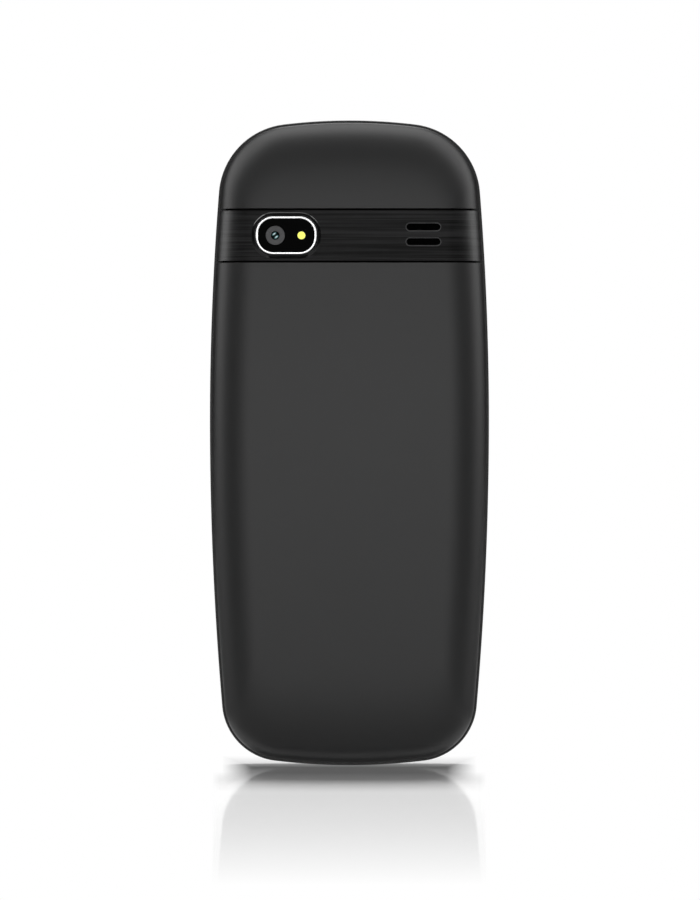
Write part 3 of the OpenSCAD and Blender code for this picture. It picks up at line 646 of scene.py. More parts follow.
def settle(piece, body, *nodes, slot=None):
    """Lets a piece ride on a body in place of CAD nodes."""
    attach(piece, body)
    if nodes:
        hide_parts(*nodes)
    return piece


def middle(node):
    """Centre of a CAD node's box."""
    low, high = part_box(node)
    return (Vector(low) + Vector(high)) / 2


def extent(node):
    """Size of a CAD node's box."""
    low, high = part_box(node)
    return Vector(high) - Vector(low)


def islands(node):
    """Centres of the separate solids of a CAD node, from the lowest up."""
    bm = merged(frame["nodes"][node].data)
    left = set(bm.verts)
    centres = []
    while left:
        group = {left.pop()}
        edge = group
        while edge:
            edge = {e.other_vert(v) for v in edge for e in v.link_edges} - group
            group = group | edge
        left -= group
        low = Vector([min(v.co[i] for v in group) for i in range(3)])
        high = Vector([max(v.co[i] for v in group) for i in range(3)])
        centres.append((low + high) / 2)
    bm.free()
    return sorted(centres, key=lambda c: (round(c.z, 5), c.x))


class Contour:
    """The phone's outline: arcs that run into each other, set in from the sides and from the ends."""

    def __init__(self, sizes):
        self.sizes = sizes
        low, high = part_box("front_cover")
        self.half = (high[0] - low[0]) / 2
        self.height = high[2]

    @staticmethod
    def arc(centre, radius, start, end, steps):
        """Points along an arc, without its last one."""
        turns = (start + (end - start) * i / steps for i in range(steps))
        return [centre + radius * Vector((math.cos(t), math.sin(t))) for t in turns]

    @staticmethod
    def corner(side, side_r, end, end_r, up):
        """Centre of the corner arc that touches a side arc and an end arc from inside."""
        gap = end - side
        along = (side_r**2 - end_r**2 + gap.length_squared) / (2 * gap.length)
        unit = gap.normalized()
        return side + along * unit + up * math.sqrt(side_r**2 - along**2) * Vector((-unit.y, unit.x))

    def quarter(self, half, end_z, side_r, end_r, corner_r, up):
        """From the waist round one corner to the middle of an end."""
        side = Vector((half - side_r, self.sizes.waist))
        end = Vector((0.0, end_z - up * end_r))
        centre = self.corner(side, side_r - corner_r, end, end_r - corner_r, up)
        first = math.atan2(centre.y - side.y, centre.x - side.x)
        last = math.atan2(centre.y - end.y, centre.x - end.x)
        points = self.arc(side, side_r, 0.0, first, self.sizes.side_steps)
        points += self.arc(centre, corner_r, first, last, self.sizes.corner_steps)
        points += self.arc(end, end_r, last, up * TURN / 4, self.sizes.end_steps)
        return points + [Vector((0.0, end_z))]

    def ring(self, y, side_in, end_in=None):
        """The whole outline at one depth."""
        end_in = side_in if end_in is None else end_in
        sizes = self.sizes
        half = self.half - side_in
        least = 2 * MM
        high_r = max(sizes.corner_high - side_in, least)
        low_r = max(sizes.corner_low - side_in, least)
        top = self.height - end_in
        high = self.quarter(half, top, sizes.side_high - side_in, sizes.top - end_in, high_r, 1)
        low = self.quarter(half, end_in, sizes.side_low - side_in, sizes.bottom - end_in, low_r, -1)
        right = low[:0:-1] + high
        left = [Vector((-p.x, p.y)) for p in right[-2:0:-1]]
        return [Vector((p.x, y, p.y)) for p in right + left]


class Build(bpy.types.Operator):
    """Shared parts of the operators that build the phone."""

    bl_options = {"REGISTER", "UNDO"}

    def execute(self, context):
        self.build(context.scene)
        return {"FINISHED"}


class PHONE_OT_back_shells(Build):
    """Builds the battery cover, the brushed band and the top cap from one smooth cup"""

    bl_idname = "phone.back_shells"
    bl_label = "Back shells"

    def cup(self, scene):
        """The whole back before the seams divide it."""
        shell = scene.phone_shell
        contour = Contour(scene.phone_outline)
        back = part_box("battery_cover")[0][1]
        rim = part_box("top_cap")[1][1]

        def ring(t, skin, inside=0.0):
            y = back + skin + (shell.edge_depth - skin) * (1 - math.cos(t))
            side = shell.ledge + skin + (shell.edge_reach - skin) * (1 - math.sin(t)) + inside
            end = shell.ledge + skin + (shell.end_reach - skin) * (1 - math.sqrt(math.sin(t))) + inside
            return contour.ring(y, side, end)

        crowding = 1.25
        turns = [TURN / 4 * (i / shell.rows) ** crowding for i in range(shell.rows + 1)]
        rings = [ring(0.0, shell.wall, FLAT_RING)]
        rings += [ring(t, shell.wall) for t in turns[::2]]
        rings += [contour.ring(rim, shell.ledge + shell.wall), contour.ring(rim, shell.ledge)]
        rings += [ring(t, 0.0) for t in reversed(turns)]
        rings += [ring(0.0, 0.0, FLAT_RING)]
        return loft("cup", rings)

    def build(self, scene):
        shell = scene.phone_shell
        looks = scene.phone_finish
        satin = plastic("satin_shell", looks.shell)
        lacquer = brushed("brushed_lacquer", looks.band)
        past = 2 * MM
        whole = self.cup(scene)
        shells = (
            ("top_cap", "phone", satin, "satin_black"),
            ("brushed_band", "phone", lacquer, "brushed_dark"),
            ("battery_cover", "battery_cover", satin, "satin_black"),
        )
        for node, body, material, slot in shells:
            low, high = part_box(node)
            piece = bpy.data.objects.new(node + "_shell", whole.data.copy())
            scene.collection.objects.link(piece)
            piece.data.materials.append(material)
            z0 = low[2]
            z1 = high[2]
            if node == "top_cap":
                z0 += shell.seam_clear
                z1 += past
            elif node == "battery_cover":
                z0 = -past
                z1 -= shell.seam_clear
            share = (0.0, (z0 + z1) / 2, 4 * CLEAR, z1 - z0, 0.0)
            carve(piece, prism(share, -CLEAR, CLEAR), operation="INTERSECT")
            if node == "brushed_band":
                self.openings(scene.phone_camera, piece)
            elif node == "battery_cover":
                self.notch(piece)
            soften(piece, shell.seam_round)
            bake(piece)
            settle(piece, body, node, slot=slot)
        bpy.data.meshes.remove(whole.data)
        material = plastic("collar_plastic", looks.band, 0.14, 0.03, 0.6)
        self.collar(scene.phone_camera, material)

    def openings(self, camera, band):
        """The camera opening and the two speaker slots."""
        shapes = [ring_shape(camera, camera.gap)] + slot_shapes(camera)
        carve(band, *[prism(shape, -CLEAR, 0.0) for shape in shapes])

    def notch(self, cover):
        """The nail notch at the cover's lower edge."""
        radius = 6 * MM
        aside = -13 * MM
        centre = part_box("top_cap")[1][1] + 5.3 * MM
        carve(cover, post(disc(aside, centre, radius), -1 * MM, 5 * MM))

    def collar(self, camera, material):
        """The bevelled collar that the band forms round the camera ring."""
        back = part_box("battery_cover")[0][1]
        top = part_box("brushed_band")[0][1]
        foot = back + 0.3 * MM
        crest = camera.gap + 0.08 * MM
        bulge = 0.02 * MM
        steps = 8
        profile = [(camera.gap, foot), (camera.collar, foot), (camera.collar, back)]
        for i in range(1, steps):
            share = i / steps
            rise = (top - back) * share - bulge * math.sin(share * TURN / 2)
            profile.append((camera.collar + (crest - camera.collar) * share, back + rise))
        profile += [(crest, top), (camera.gap, top + 0.05 * MM)]
        piece = moulding("camera_collar", ring_shape(camera), profile, True, material)
        settle(piece, "phone", slot="brushed_dark")


def ring_shape(sizes, grow=0.0):
    """The camera ring as a rounded rectangle, grown by an offset."""
    at = middle("camera_ring")
    size = extent("camera_ring")
    return (at.x, at.z, size.x + 2 * grow, size.z + 2 * grow, sizes.corner + grow)


def slot_shapes(sizes):
    """The two speaker slots as rounded rectangles."""
    at = middle("speaker_mesh")
    ups = (-sizes.slot_pitch / 2, sizes.slot_pitch / 2)
    return [(at.x, at.z + up, sizes.slot_w, sizes.slot_h, sizes.slot_h / 2) for up in ups]


def key_names():
    """Every key but the centre one, as the record lists their bodies."""
    ends = ("_soft_key", "call_key", "end_key")
    bodies = frame["record"]["behaviour"]["bodies"]
    return [b for b in bodies if b.endswith(ends) or b.startswith("key_")]


def key_size(node):
    """Centre, width and height of a key's cap, without its flange."""
    flange = 0.5 * MM
    at = middle(node)
    size = extent(node)
    return at, size.x - 2 * flange, size.z - 2 * flange


class PHONE_OT_front_cover(Build):
    """Builds the front cover with its openings"""

    bl_idname = "phone.front_cover"
    bl_label = "Front cover"

    def build(self, scene):
        shell = scene.phone_shell
        contour = Contour(scene.phone_outline)
        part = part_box("top_cap")[1][1] + 0.05 * MM
        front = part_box("display_window")[1][1]
        face = front - shell.face

        def ring(t, inside=0.0):
            y = front - shell.front_depth * (1 - math.cos(t))
            return contour.ring(y, shell.lean + shell.front_reach * (1 - math.sin(t)) + inside)

        steps = 16
        draft = 0.2 * MM
        rings = [ring(0.0, FLAT_RING)] + [ring(TURN / 4 * i / steps) for i in range(steps + 1)]
        rings += [contour.ring(part + 0.25 * MM, 0.0), contour.ring(part, 0.1 * MM)]
        rings += [contour.ring(part, shell.side_wall), contour.ring(face, shell.side_wall + draft)]
        material = plastic("rim_plastic", scene.phone_finish.rim, 0.36, gleam=0.35)
        cover = loft("front_cover_shell", rings, material=material)
        carve(cover, *self.holes(scene, face, front))
        soften(cover, 0.08 * MM, 50.0)
        bake(cover)
        settle(cover, "phone", "front_cover", slot="rim_black")

    def holes(self, scene, face, front):
        """Cutters for the display, the keys, the ports and the small holes."""
        shell = scene.phone_shell
        keys = scene.phone_keys
        low = face - 0.5 * MM
        high = front + 1 * MM
        at = middle("display_window")
        view = extent("display_module")
        size = extent("display_window")
        slack = 0.1 * MM
        inside = (at.x, at.z, view.x - 1 * MM, view.z - 3 * MM, 1 * MM)
        seat = (at.x, at.z, size.x + 2 * slack, size.z + 2 * slack, WINDOW_CORNER + slack)
        made = [prism(inside, low, high), prism(seat, front - shell.seat, high)]
        for name in key_names() + ["nav_ring"]:
            at, w, h = key_size(name)
            corner = NAV_CORNER if name == "nav_ring" else keys.corner * h
            shape = (at.x, at.z, w + 2 * keys.room, h + 2 * keys.room, corner + keys.room)
            made.append(prism(shape, low, high))
        ear = middle("earpiece_mesh")
        ear_w = 9 * MM
        ear_h = 1.4 * MM
        made.append(prism((ear.x, ear.z, ear_w, ear_h, ear_h / 2), low, high))
        mic = middle("microphone")
        made.append(prism(disc(mic.x, mic.z, 0.45 * MM), low, high))
        port = middle("usb_port")
        port_slot = (0.0, 1.5 * MM, 8.3 * MM, 6 * MM, 0.5 * MM)
        reach = extent("usb_port").y / 2 + 0.25 * MM
        made.append(prism(port_slot, port.y - reach, port.y + reach))
        jack = next(m for m in frame["record"]["mounts"] if m["name"] == "audio_jack")["pos_m"]
        made.append(post(disc(jack[0], jack[1], 2.2 * MM), 111 * MM, 118 * MM))
        return made


class PHONE_OT_camera(Build):
    """Builds the camera ring, its window, the lens and the flash"""

    bl_idname = "phone.camera"
    bl_label = "Camera"

    def build(self, scene):
        looks = scene.phone_finish
        self.ring(scene)
        self.window(scene.phone_camera)
        lens = middle("camera_lens")
        radius = extent("camera_lens").x / 2
        low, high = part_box("camera_lens")
        rise = 0.2 * MM
        profile = [(0.0, high[1]), (0.0, low[1] + rise)]
        profile += quarter_round(0.98 * radius, low[1], rise, 8)
        glass = lens_glass("lens_coating", lens, radius)
        piece = moulding("lens_dome", disc(lens.x, lens.z, radius), profile, material=glass)
        settle(piece, "phone", "camera_lens", slot="coated_glass")
        nose = frame["nodes"]["camera_module"]
        dress(nose, plastic("nose_plastic", looks.nose, 0.38))
        soften(nose, 0.06 * MM)
        flash = frame["nodes"]["flash_led"]
        dress(flash, flash_resin("flash_resin", looks.flash, middle("flash_led")))

    def ring(self, scene):
        """The bright ring, with a rounded rim."""
        camera = scene.phone_camera
        low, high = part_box("camera_ring")
        rise = 0.15 * MM
        bevel = 0.08 * MM
        foot = camera.ring + 0.45 * MM
        ledge = high[1] - 0.8 * MM
        profile = [(0.0, high[1]), (0.0, low[1] + rise)]
        profile += quarter_round(0.16 * MM, low[1], rise, 6)
        profile += [(bevel - camera.ring, low[1]), (-camera.ring, low[1] + bevel)]
        profile += [(-camera.ring, ledge), (-foot, ledge), (-foot, high[1])]
        material = metal("ring_chrome", scene.phone_finish.chrome, 0.2, grain=0.02)
        piece = moulding("camera_ring_trim", ring_shape(camera), profile, True, material)
        settle(piece, "phone", "camera_ring", slot="bright_chrome")

    def window(self, camera):
        """The gloss black window with its two round holes."""
        inset = camera.ring + 0.03 * MM
        low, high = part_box("camera_window")
        edge = 0.08 * MM
        profile = [(0.0, high[1]), (0.0, low[1] + edge), (-edge, low[1]), (-3 * edge, low[1])]
        glass = smoked("window_smoke")
        piece = moulding("camera_window_plate", ring_shape(camera, -inset), profile, material=glass)
        cutters = []
        for node, radius in (("camera_lens", 1.75 * MM), ("flash_led", 0.8 * MM)):
            at = middle(node)
            cutters.append(prism(disc(at.x, at.z, radius), low[1] - MM, high[1] + MM))
        carve(piece, *cutters)
        settle(piece, "phone", "camera_window", slot="window_black")


def dress(node, material):
    """Gives a CAD node its finish."""
    node.data.materials.clear()
    node.data.materials.append(material)


# Geometry node trees


def new_tree(name, inputs):
    """A geometry tree with named inputs: a graph, and its inputs as wires."""
    tree = bpy.data.node_groups.new(name, "GeometryNodeTree")
    tree.interface.new_socket(name="Mesh", in_out="OUTPUT", socket_type="NodeSocketGeometry")
    for title, kind in inputs:
        tree.interface.new_socket(name=title, in_out="INPUT", socket_type="NodeSocket" + kind)
    graph = Graph(tree)
    start = graph.add("NodeGroupInput")
    return graph, {title: graph.out(start, title) for title, _ in inputs}


def end_tree(graph, geometry, material):
    """Realises a tree's instances, sets its material and ends it."""
    real = graph.out(graph.add("GeometryNodeRealizeInstances", Geometry=geometry), "Geometry")
    painted = graph.add("GeometryNodeSetMaterial", Geometry=real, Material=material)
    end = graph.add("NodeGroupOutput")
    graph.feed(end.inputs["Mesh"], graph.out(painted, "Geometry"))
    return graph.tree


def grow_tree(name, tree, values, spots=()):
    """Runs a geometry tree on some points with its inputs set, and keeps the result as a mesh."""
    mesh = bpy.data.meshes.new(name)
    mesh.from_pydata(spots, [], [])
    piece = to_object(name, mesh)
    step = piece.modifiers.new("grow", "NODES")
    step.node_group = tree
    for item in tree.interface.items_tree:
        if item.in_out == "INPUT" and item.socket_type != "NodeSocketGeometry":
            step[item.identifier] = values[item.name]
    bake(piece)
    if not piece.data.polygons:
        raise RuntimeError(name + " came out empty")
    smooth(piece.data)
    return piece


def weave_tree():
    """Crossed wires that fill a rectangle."""
    inputs = [("Width", "Float"), ("Height", "Float"), ("Pitch", "Float"), ("Radius", "Float")]
    inputs += [("Centre", "Vector"), ("Material", "Material")]
    graph, given = new_tree("wire_weave", inputs)
    pitch = given["Pitch"]
    radius = given["Radius"]
    joined = graph.add("GeometryNodeJoinGeometry")
    for span, reach, turn, lift in (("Width", "Height", 0.0, 0.6), ("Height", "Width", TURN / 4, -0.6)):
        count = (given[span] / pitch).reckon("FLOOR") + 1.0
        first = (count - 1.0) * pitch * -0.5
        if span == "Width":
            start = graph.vector(first, radius * lift, 0.0)
            step = graph.vector(pitch, 0.0, 0.0)
        else:
            start = graph.vector(0.0, radius * lift, first)
            step = graph.vector(0.0, 0.0, pitch)
        line = graph.add("GeometryNodeMeshLine", Count=count, Start_Location=start, Offset=step)
        rod = graph.add("GeometryNodeMeshCylinder", Vertices=8, Radius=radius, Depth=given[reach])
        turned = graph.moved(graph.out(rod, "Mesh"), turn=(0.0, turn, 0.0))
        graph.feed(joined.inputs["Geometry"], graph.spread(graph.out(line, "Mesh"), turned))
    placed = graph.moved(graph.out(joined, "Geometry"), given["Centre"])
    return end_tree(graph, placed, given["Material"])


class PHONE_OT_speaker(Build):
    """Builds the bare edges of the speaker slots and the woven meshes of speaker and earpiece"""

    bl_idname = "phone.speaker"
    bl_label = "Speaker and earpiece"

    def build(self, scene):
        camera = scene.phone_camera
        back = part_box("battery_cover")[0][1]
        edge = plastic("slot_edge", scene.phone_finish.slot_edge, 0.5)
        foot = back + 0.3 * MM
        lip = -0.02 * MM
        profile = [(lip, foot), (camera.slot_rim, foot), (camera.slot_rim, back - 0.005 * MM)]
        profile += [(0.06 * MM, back - 0.02 * MM), (lip, back + 0.05 * MM)]
        for i, shape in enumerate(slot_shapes(camera)):
            piece = moulding("slot_edge_%d" % (i + 1), shape, profile, True, edge)
            settle(piece, "phone", slot="brushed_dark")
        tree = weave_tree()
        cloth = plastic("mesh_cloth", (0.0005, 0.0005, 0.0006), 0.8, gleam=0.02)
        for node in ("speaker_mesh", "earpiece_mesh"):
            size = extent(node)
            values = {
                "Width": size.x,
                "Height": size.z,
                "Pitch": camera.wire_pitch,
                "Radius": camera.wire,
                "Centre": middle(node),
                "Material": cloth,
            }
            settle(grow_tree(node + "_weave", tree, values), "phone", node, slot="mesh_black")


def cap_tree():
    """A key cap: a rounded rectangle with a crowned top, a rounded edge and straight walls."""
    inputs = [("Width", "Float"), ("Height", "Float"), ("Corner", "Float"), ("Crown", "Float")]
    inputs += [("Edge", "Float"), ("Depth", "Float"), ("Centre", "Vector"), ("Material", "Material")]
    graph, given = new_tree("key_cap", inputs)
    corner = given["Corner"]
    turns = 96
    brim = 0.7
    foot = 0.85
    grid = graph.add("GeometryNodeMeshGrid", Size_X=1.0, Size_Y=1.0, Vertices_X=40, Vertices_Y=turns + 1)
    split = graph.add("ShaderNodeSeparateXYZ", Vector=graph.out(grid, "UV Map"))
    out = graph.out(split, "X")
    turn = graph.out(split, "Y") * TURN + TURN / (2 * turns)
    cos = turn.reckon("COSINE")
    sin = turn.reckon("SINE")
    top = 1.0 - (1.0 - out.ramp(0.0, brim)) ** 2.0
    scale = top - out.ramp(foot, 1.0)
    x = (given["Width"] * 0.5 - corner) * (cos * 4.0).between(-1.0, 1.0) + corner * cos
    z = (given["Height"] * 0.5 - corner) * (sin * 4.0).between(-1.0, 1.0) + corner * sin
    x = x * scale
    z = z * scale
    rim = top.ramp(0.8, 1.0)
    drop = given["Edge"] * (1.0 - (1.0 - rim * rim).reckon("SQRT"))
    crown = z * z / (given["Crown"] * 2.0)
    flat = 1.0 - out.ramp(0.84, foot)
    y = (crown + drop) * flat * -1.0 - given["Depth"] * out.ramp(brim, foot)
    place = graph.vector(x, y, z)
    shaped = graph.add("GeometryNodeSetPosition", Geometry=graph.out(grid, "Mesh"), Position=place)
    shape = graph.out(shaped, "Geometry")
    closed = graph.add("GeometryNodeMergeByDistance", Geometry=shape, Distance=1e-6)
    outward = graph.add("GeometryNodeFlipFaces", Mesh=graph.out(closed, "Geometry"))
    placed = graph.moved(graph.out(outward, "Mesh"), given["Centre"])
    return end_tree(graph, placed, given["Material"])


class PHONE_OT_keys(Build):
    """Builds the keys, the navigation ring and their legends"""

    bl_idname = "phone.keys"
    bl_label = "Keys"

    def build(self, scene):
        keys = scene.phone_keys
        self.ink = plastic("legend_ink", scene.phone_finish.legend, 0.5, 0.02)
        self.call = plastic("call_green", (0.03, 0.42, 0.1), 0.5, 0.02)
        self.end = plastic("end_red", (0.5, 0.03, 0.03), 0.5, 0.02)
        self.black = plastic("key_plastic", (0.013, 0.013, 0.0145), 0.34, 0.06)
        self.grey = plastic("centre_plastic", (0.05, 0.053, 0.058), 0.28, 0.04)
        tree = cap_tree()
        for name in key_names() + ["centre_key"]:
            at, w, h = key_size(name)
            top = Vector((at.x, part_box(name)[1][1] - 1.5 * keys.ink, at.z))
            plain = name == "centre_key"
            values = {
                "Width": w,
                "Height": h,
                "Corner": 2.4 * MM if plain else keys.corner * h,
                "Crown": 30 * MM if plain else keys.crown,
                "Edge": keys.edge,
                "Depth": 2.0 * MM,
                "Centre": top,
                "Material": self.grey if plain else self.black,
            }
            piece = grow_tree(name + "_cap", tree, values)
            slot = "centre_grey" if plain else "key_black"
            settle(piece, name, slot=slot)
            self.hold(name, values["Material"], slot)
            if not plain:
                self.legend(scene, name, top)
        self.nav_ring(scene)

    def hold(self, name, material, slot):
        """The key's flange and plunger, kept from the CAD node below the face."""
        mesh = frame["nodes"][name].data.copy()
        bm = merged(mesh)
        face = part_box("keypad_sheet")[1][1] + 0.95 * MM
        up = (0, 1, 0)
        whole = bm.verts[:] + bm.edges[:] + bm.faces[:]
        cut = bmesh.ops.bisect_plane(bm, geom=whole, plane_co=(0, face, 0), plane_no=up, clear_outer=True)
        edges = [e for e in cut["geom_cut"] if isinstance(e, bmesh.types.BMEdge)]
        bmesh.ops.triangle_fill(bm, use_beauty=True, edges=edges, normal=up)
        bmesh.ops.recalc_face_normals(bm, faces=bm.faces)
        bm.to_mesh(mesh)
        bm.free()
        piece = to_object(name + "_base", mesh, material)
        settle(piece, name, name, slot=slot)

    def legend(self, scene, name, top):
        """Digits and letters, or the mark of a side key."""
        keys = scene.phone_keys
        mark = {"key_star": "*", "key_hash": "#"}.get(name, name[-1])
        if name in ("call_key", "end_key"):
            self.handset(scene, name, top)
        elif name.endswith("soft_key"):
            bar = (top.x, top.z, 2.4 * MM, 0.5 * MM, 0.2 * MM)
            profile = [(0.0, top.y - keys.ink), (0.0, top.y + keys.ink)]
            piece = moulding(name + "_mark", bar, profile, material=self.ink)
            settle(piece, name)
        else:
            letters = LETTERS.get(mark)
            aside = 1.9 * MM if letters else 0.0
            words = [(mark, keys.digit, -aside)]
            if letters:
                words.append((letters, keys.letter, aside))
            for i, (word, height, across) in enumerate(words):
                title = "%s_mark_%d" % (name, i + 1)
                self.print_word(scene, title, word, height, across, top, name)

    def print_word(self, scene, title, word, height, across, top, body):
        """One word as thin solid letters that follow the key's crown."""
        keys = scene.phone_keys
        curve = bpy.data.curves.new(title, "FONT")
        curve.body = word
        curve.size = height
        curve.align_x = "CENTER"
        curve.align_y = "CENTER"
        curve.extrude = keys.ink
        curve.resolution_u = 4
        written = bpy.data.objects.new(title + "_text", curve)
        scene.collection.objects.link(written)
        seen = written.evaluated_get(bpy.context.evaluated_depsgraph_get())
        mesh = bpy.data.meshes.new_from_object(seen)
        bpy.data.objects.remove(written)
        bm = merged(mesh)
        for i in range(-4, 5):
            whole = bm.verts[:] + bm.edges[:] + bm.faces[:]
            level = (0, i * height / 9, 0)
            bmesh.ops.bisect_plane(bm, geom=whole, plane_co=level, plane_no=(0, 1, 0))
        for v in bm.verts:
            x, up, out = v.co
            v.co = (top.x - across - x, top.y + out - up**2 / (2 * keys.crown), top.z + up)
        bm.to_mesh(mesh)
        bm.free()
        settle(to_object(title, mesh, self.ink), body)

    def handset(self, scene, name, top):
        """A plain bow with two ends, lifted for a call and laid down to end it."""
        keys = scene.phone_keys
        calling = name == "call_key"
        turn = Matrix.Rotation(0.6 if calling else 0.0, 2)
        steps = 12
        ends = (0, 1, steps - 1, steps)
        outside = [(i, 2.1 * MM) for i in range(steps + 1)]
        inside = [(i, 1.15 * MM if i in ends else 1.5 * MM) for i in range(steps, -1, -1)]
        bow = []
        for i, radius in outside + inside:
            t = TURN / 4 * (0.35 + 1.3 * i / steps)
            spot = turn @ Vector((radius * math.cos(t), radius * math.sin(t) - 1.6 * MM))
            bow.append((spot.x, -spot.y if calling else spot.y))
        levels = (top.y - keys.ink, top.y + keys.ink)
        rings = [[Vector((top.x - x, y, top.z + z)) for x, z in bow] for y in levels]
        piece = loft(name + "_mark", rings, material=self.call if calling else self.end)
        settle(piece, name)

    def nav_ring(self, scene):
        """The navigation ring: a rounded frame that falls a little towards the centre key."""
        keys = scene.phone_keys
        at, w, h = key_size("nav_ring")
        hole = extent("centre_key")
        outer = rounded(at.x, at.z, w, h, NAV_CORNER)
        inner = rounded(at.x, at.z, hole.x - 0.4 * MM, hole.z - 0.4 * MM, 2.7 * MM)
        step = rounded(at.x, at.z, hole.x + 0.8 * MM, hole.z + 0.8 * MM, 3.3 * MM)
        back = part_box("keypad_sheet")[1][1] + 0.9 * MM
        seat = back + 0.45 * MM
        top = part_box("nav_ring")[1][1] - 1.5 * keys.ink

        def ring(share, y):
            pairs = [(Vector(far), Vector(near)) for far, near in zip(outer, inner)]
            spots = [far.lerp(near, share) for far, near in pairs]
            return [Vector((spot.x, y, spot.y)) for spot in spots]

        rings = [ring(0.0, back)]
        steps = 12
        for i in range(steps + 1):
            share = i / steps
            edge = 0.3 * MM * (1 - math.sqrt(1 - (1 - min(share / 0.12, 1.0)) ** 2))
            dip = 0.25 * MM * max(0.0, (share - 0.35) / 0.65) ** 2
            rings.append(ring(share, top - edge - dip))
        rings.append(ring(1.0, seat))
        rings += [[Vector((x, y, z)) for x, z in step] for y in (seat, back)]
        material = plastic("nav_plastic", (0.024, 0.025, 0.028), 0.3, 0.05)
        settle(loft("nav_ring_cap", rings, True, material), "nav_ring", slot="nav_dark")
        self.hold("nav_ring", material, "nav_dark")
        reach_x = w / 2 - 1.7 * MM
        reach_z = h / 2 - 1.5 * MM
        tips = [(0.45 * MM, 0.0), (-0.3 * MM, 0.55 * MM), (-0.3 * MM, -0.55 * MM)]
        for i, (across, up) in enumerate(((-1, 0), (1, 0), (0, -1), (0, 1))):
            spot = Vector((at.x + across * reach_x, top - 0.005 * MM, at.z + up * reach_z))
            turned = [(a * across - b * up, a * up + b * across) for a, b in tips]
            rows = [[spot + Vector((x, y, z)) for x, z in turned] for y in (-keys.ink, keys.ink)]
            settle(loft("nav_mark_%d" % (i + 1), rows, material=self.ink), "nav_ring")


class PHONE_OT_display(Build):
    """Builds the display window with a polished edge"""

    bl_idname = "phone.display"
    bl_label = "Display"

    def build(self, scene):
        low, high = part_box("display_window")
        at = middle("display_window")
        size = extent("display_window")
        edge = 0.25 * MM
        profile = [(0.0, low[1]), (0.0, high[1] - edge)]
        profile += quarter_round(edge, high[1], -edge, 5)
        profile.append((-2 * edge, high[1]))
        shape = (at.x, at.z, size.x, size.z, WINDOW_CORNER)
        piece = moulding("display_glass", shape, profile, material=self.glass(at))
        settle(piece, "phone", "display_window", slot="screen_glass")

    def glass(self, at):
        """Gloss black glass with a darker border round the picture."""
        made = Surface("screen_gloss")
        x, _, z = made.parts()
        picture = extent("display_module") / 2 - Vector((1.2, 0.0, 2.0)) * MM
        width = 0.1 * MM
        across = (x - at.x).reckon("ABSOLUTE").ramp(picture.x, picture.x + width)
        up = (z - at.z).reckon("ABSOLUTE").ramp(picture.z, picture.z + width)
        border = across.reckon("MAXIMUM", up)
        made.set(Base_Color=made.blend(border, (0.006, 0.007, 0.009), (0.002, 0.002, 0.0025)))
        made.set(Roughness=0.04 + 0.02 * made.noise(200.0), Specular_IOR_Level=0.3)
        return made.material


def screw_tree():
    """A cross-head screw on every point of a mesh, with its head towards -Y."""
    inputs = [("Spots", "Geometry"), ("Head", "Float"), ("Thickness", "Float"), ("Shank", "Float")]
    inputs += [("Length", "Float"), ("Material", "Material")]
    graph, given = new_tree("cross_screws", inputs)
    head = given["Head"]
    thickness = given["Thickness"]
    overlap = 0.02 * MM
    whole = graph.add("GeometryNodeMeshBoolean", {"operation": "UNION", "solver": "EXACT"})
    rods = ((head, thickness, 0.5, 0.0), (given["Shank"], given["Length"], -0.5, overlap))
    for radius, depth, share, lift in rods:
        rod = graph.add("GeometryNodeMeshCylinder", Vertices=40, Radius=radius, Depth=depth)
        up = graph.vector(0.0, 0.0, depth * share + lift)
        graph.feed(whole.inputs[1], graph.moved(graph.out(rod, "Mesh"), up))
    cut = graph.add("GeometryNodeMeshBoolean", {"operation": "DIFFERENCE", "solver": "EXACT"})
    graph.feed(cut.inputs[0], graph.out(whole, "Mesh"))
    for long_x, long_y in ((1.15, 0.27), (0.27, 1.15)):
        size = graph.vector(head * long_x, head * long_y, thickness)
        bar = graph.add("GeometryNodeMeshCube", Size=size)
        up = graph.vector(0.0, 0.0, thickness * 0.95)
        graph.feed(cut.inputs[1], graph.moved(graph.out(bar, "Mesh"), up))
    turned = graph.moved(graph.out(cut, "Mesh"), turn=(TURN / 4, 0.0, 0.0))
    return end_tree(graph, graph.spread(given["Spots"], turned), given["Material"])


def pad_tree():
    """A grid of small contact pads."""
    inputs = [("Columns", "Int"), ("Rows", "Int"), ("Width", "Float"), ("Height", "Float")]
    inputs += [("Pad", "Vector"), ("Centre", "Vector"), ("Material", "Material")]
    graph, given = new_tree("contact_pads", inputs)
    grid = graph.add(
        "GeometryNodeMeshGrid",
        Size_X=given["Width"],
        Size_Y=given["Height"],
        Vertices_X=given["Columns"],
        Vertices_Y=given["Rows"],
    )
    upright = graph.moved(graph.out(grid, "Mesh"), given["Centre"], (TURN / 4, 0.0, 0.0))
    pad = graph.add("GeometryNodeMeshCube", Size=given["Pad"])
    placed = graph.spread(upright, graph.out(pad, "Mesh"))
    return end_tree(graph, placed, given["Material"])


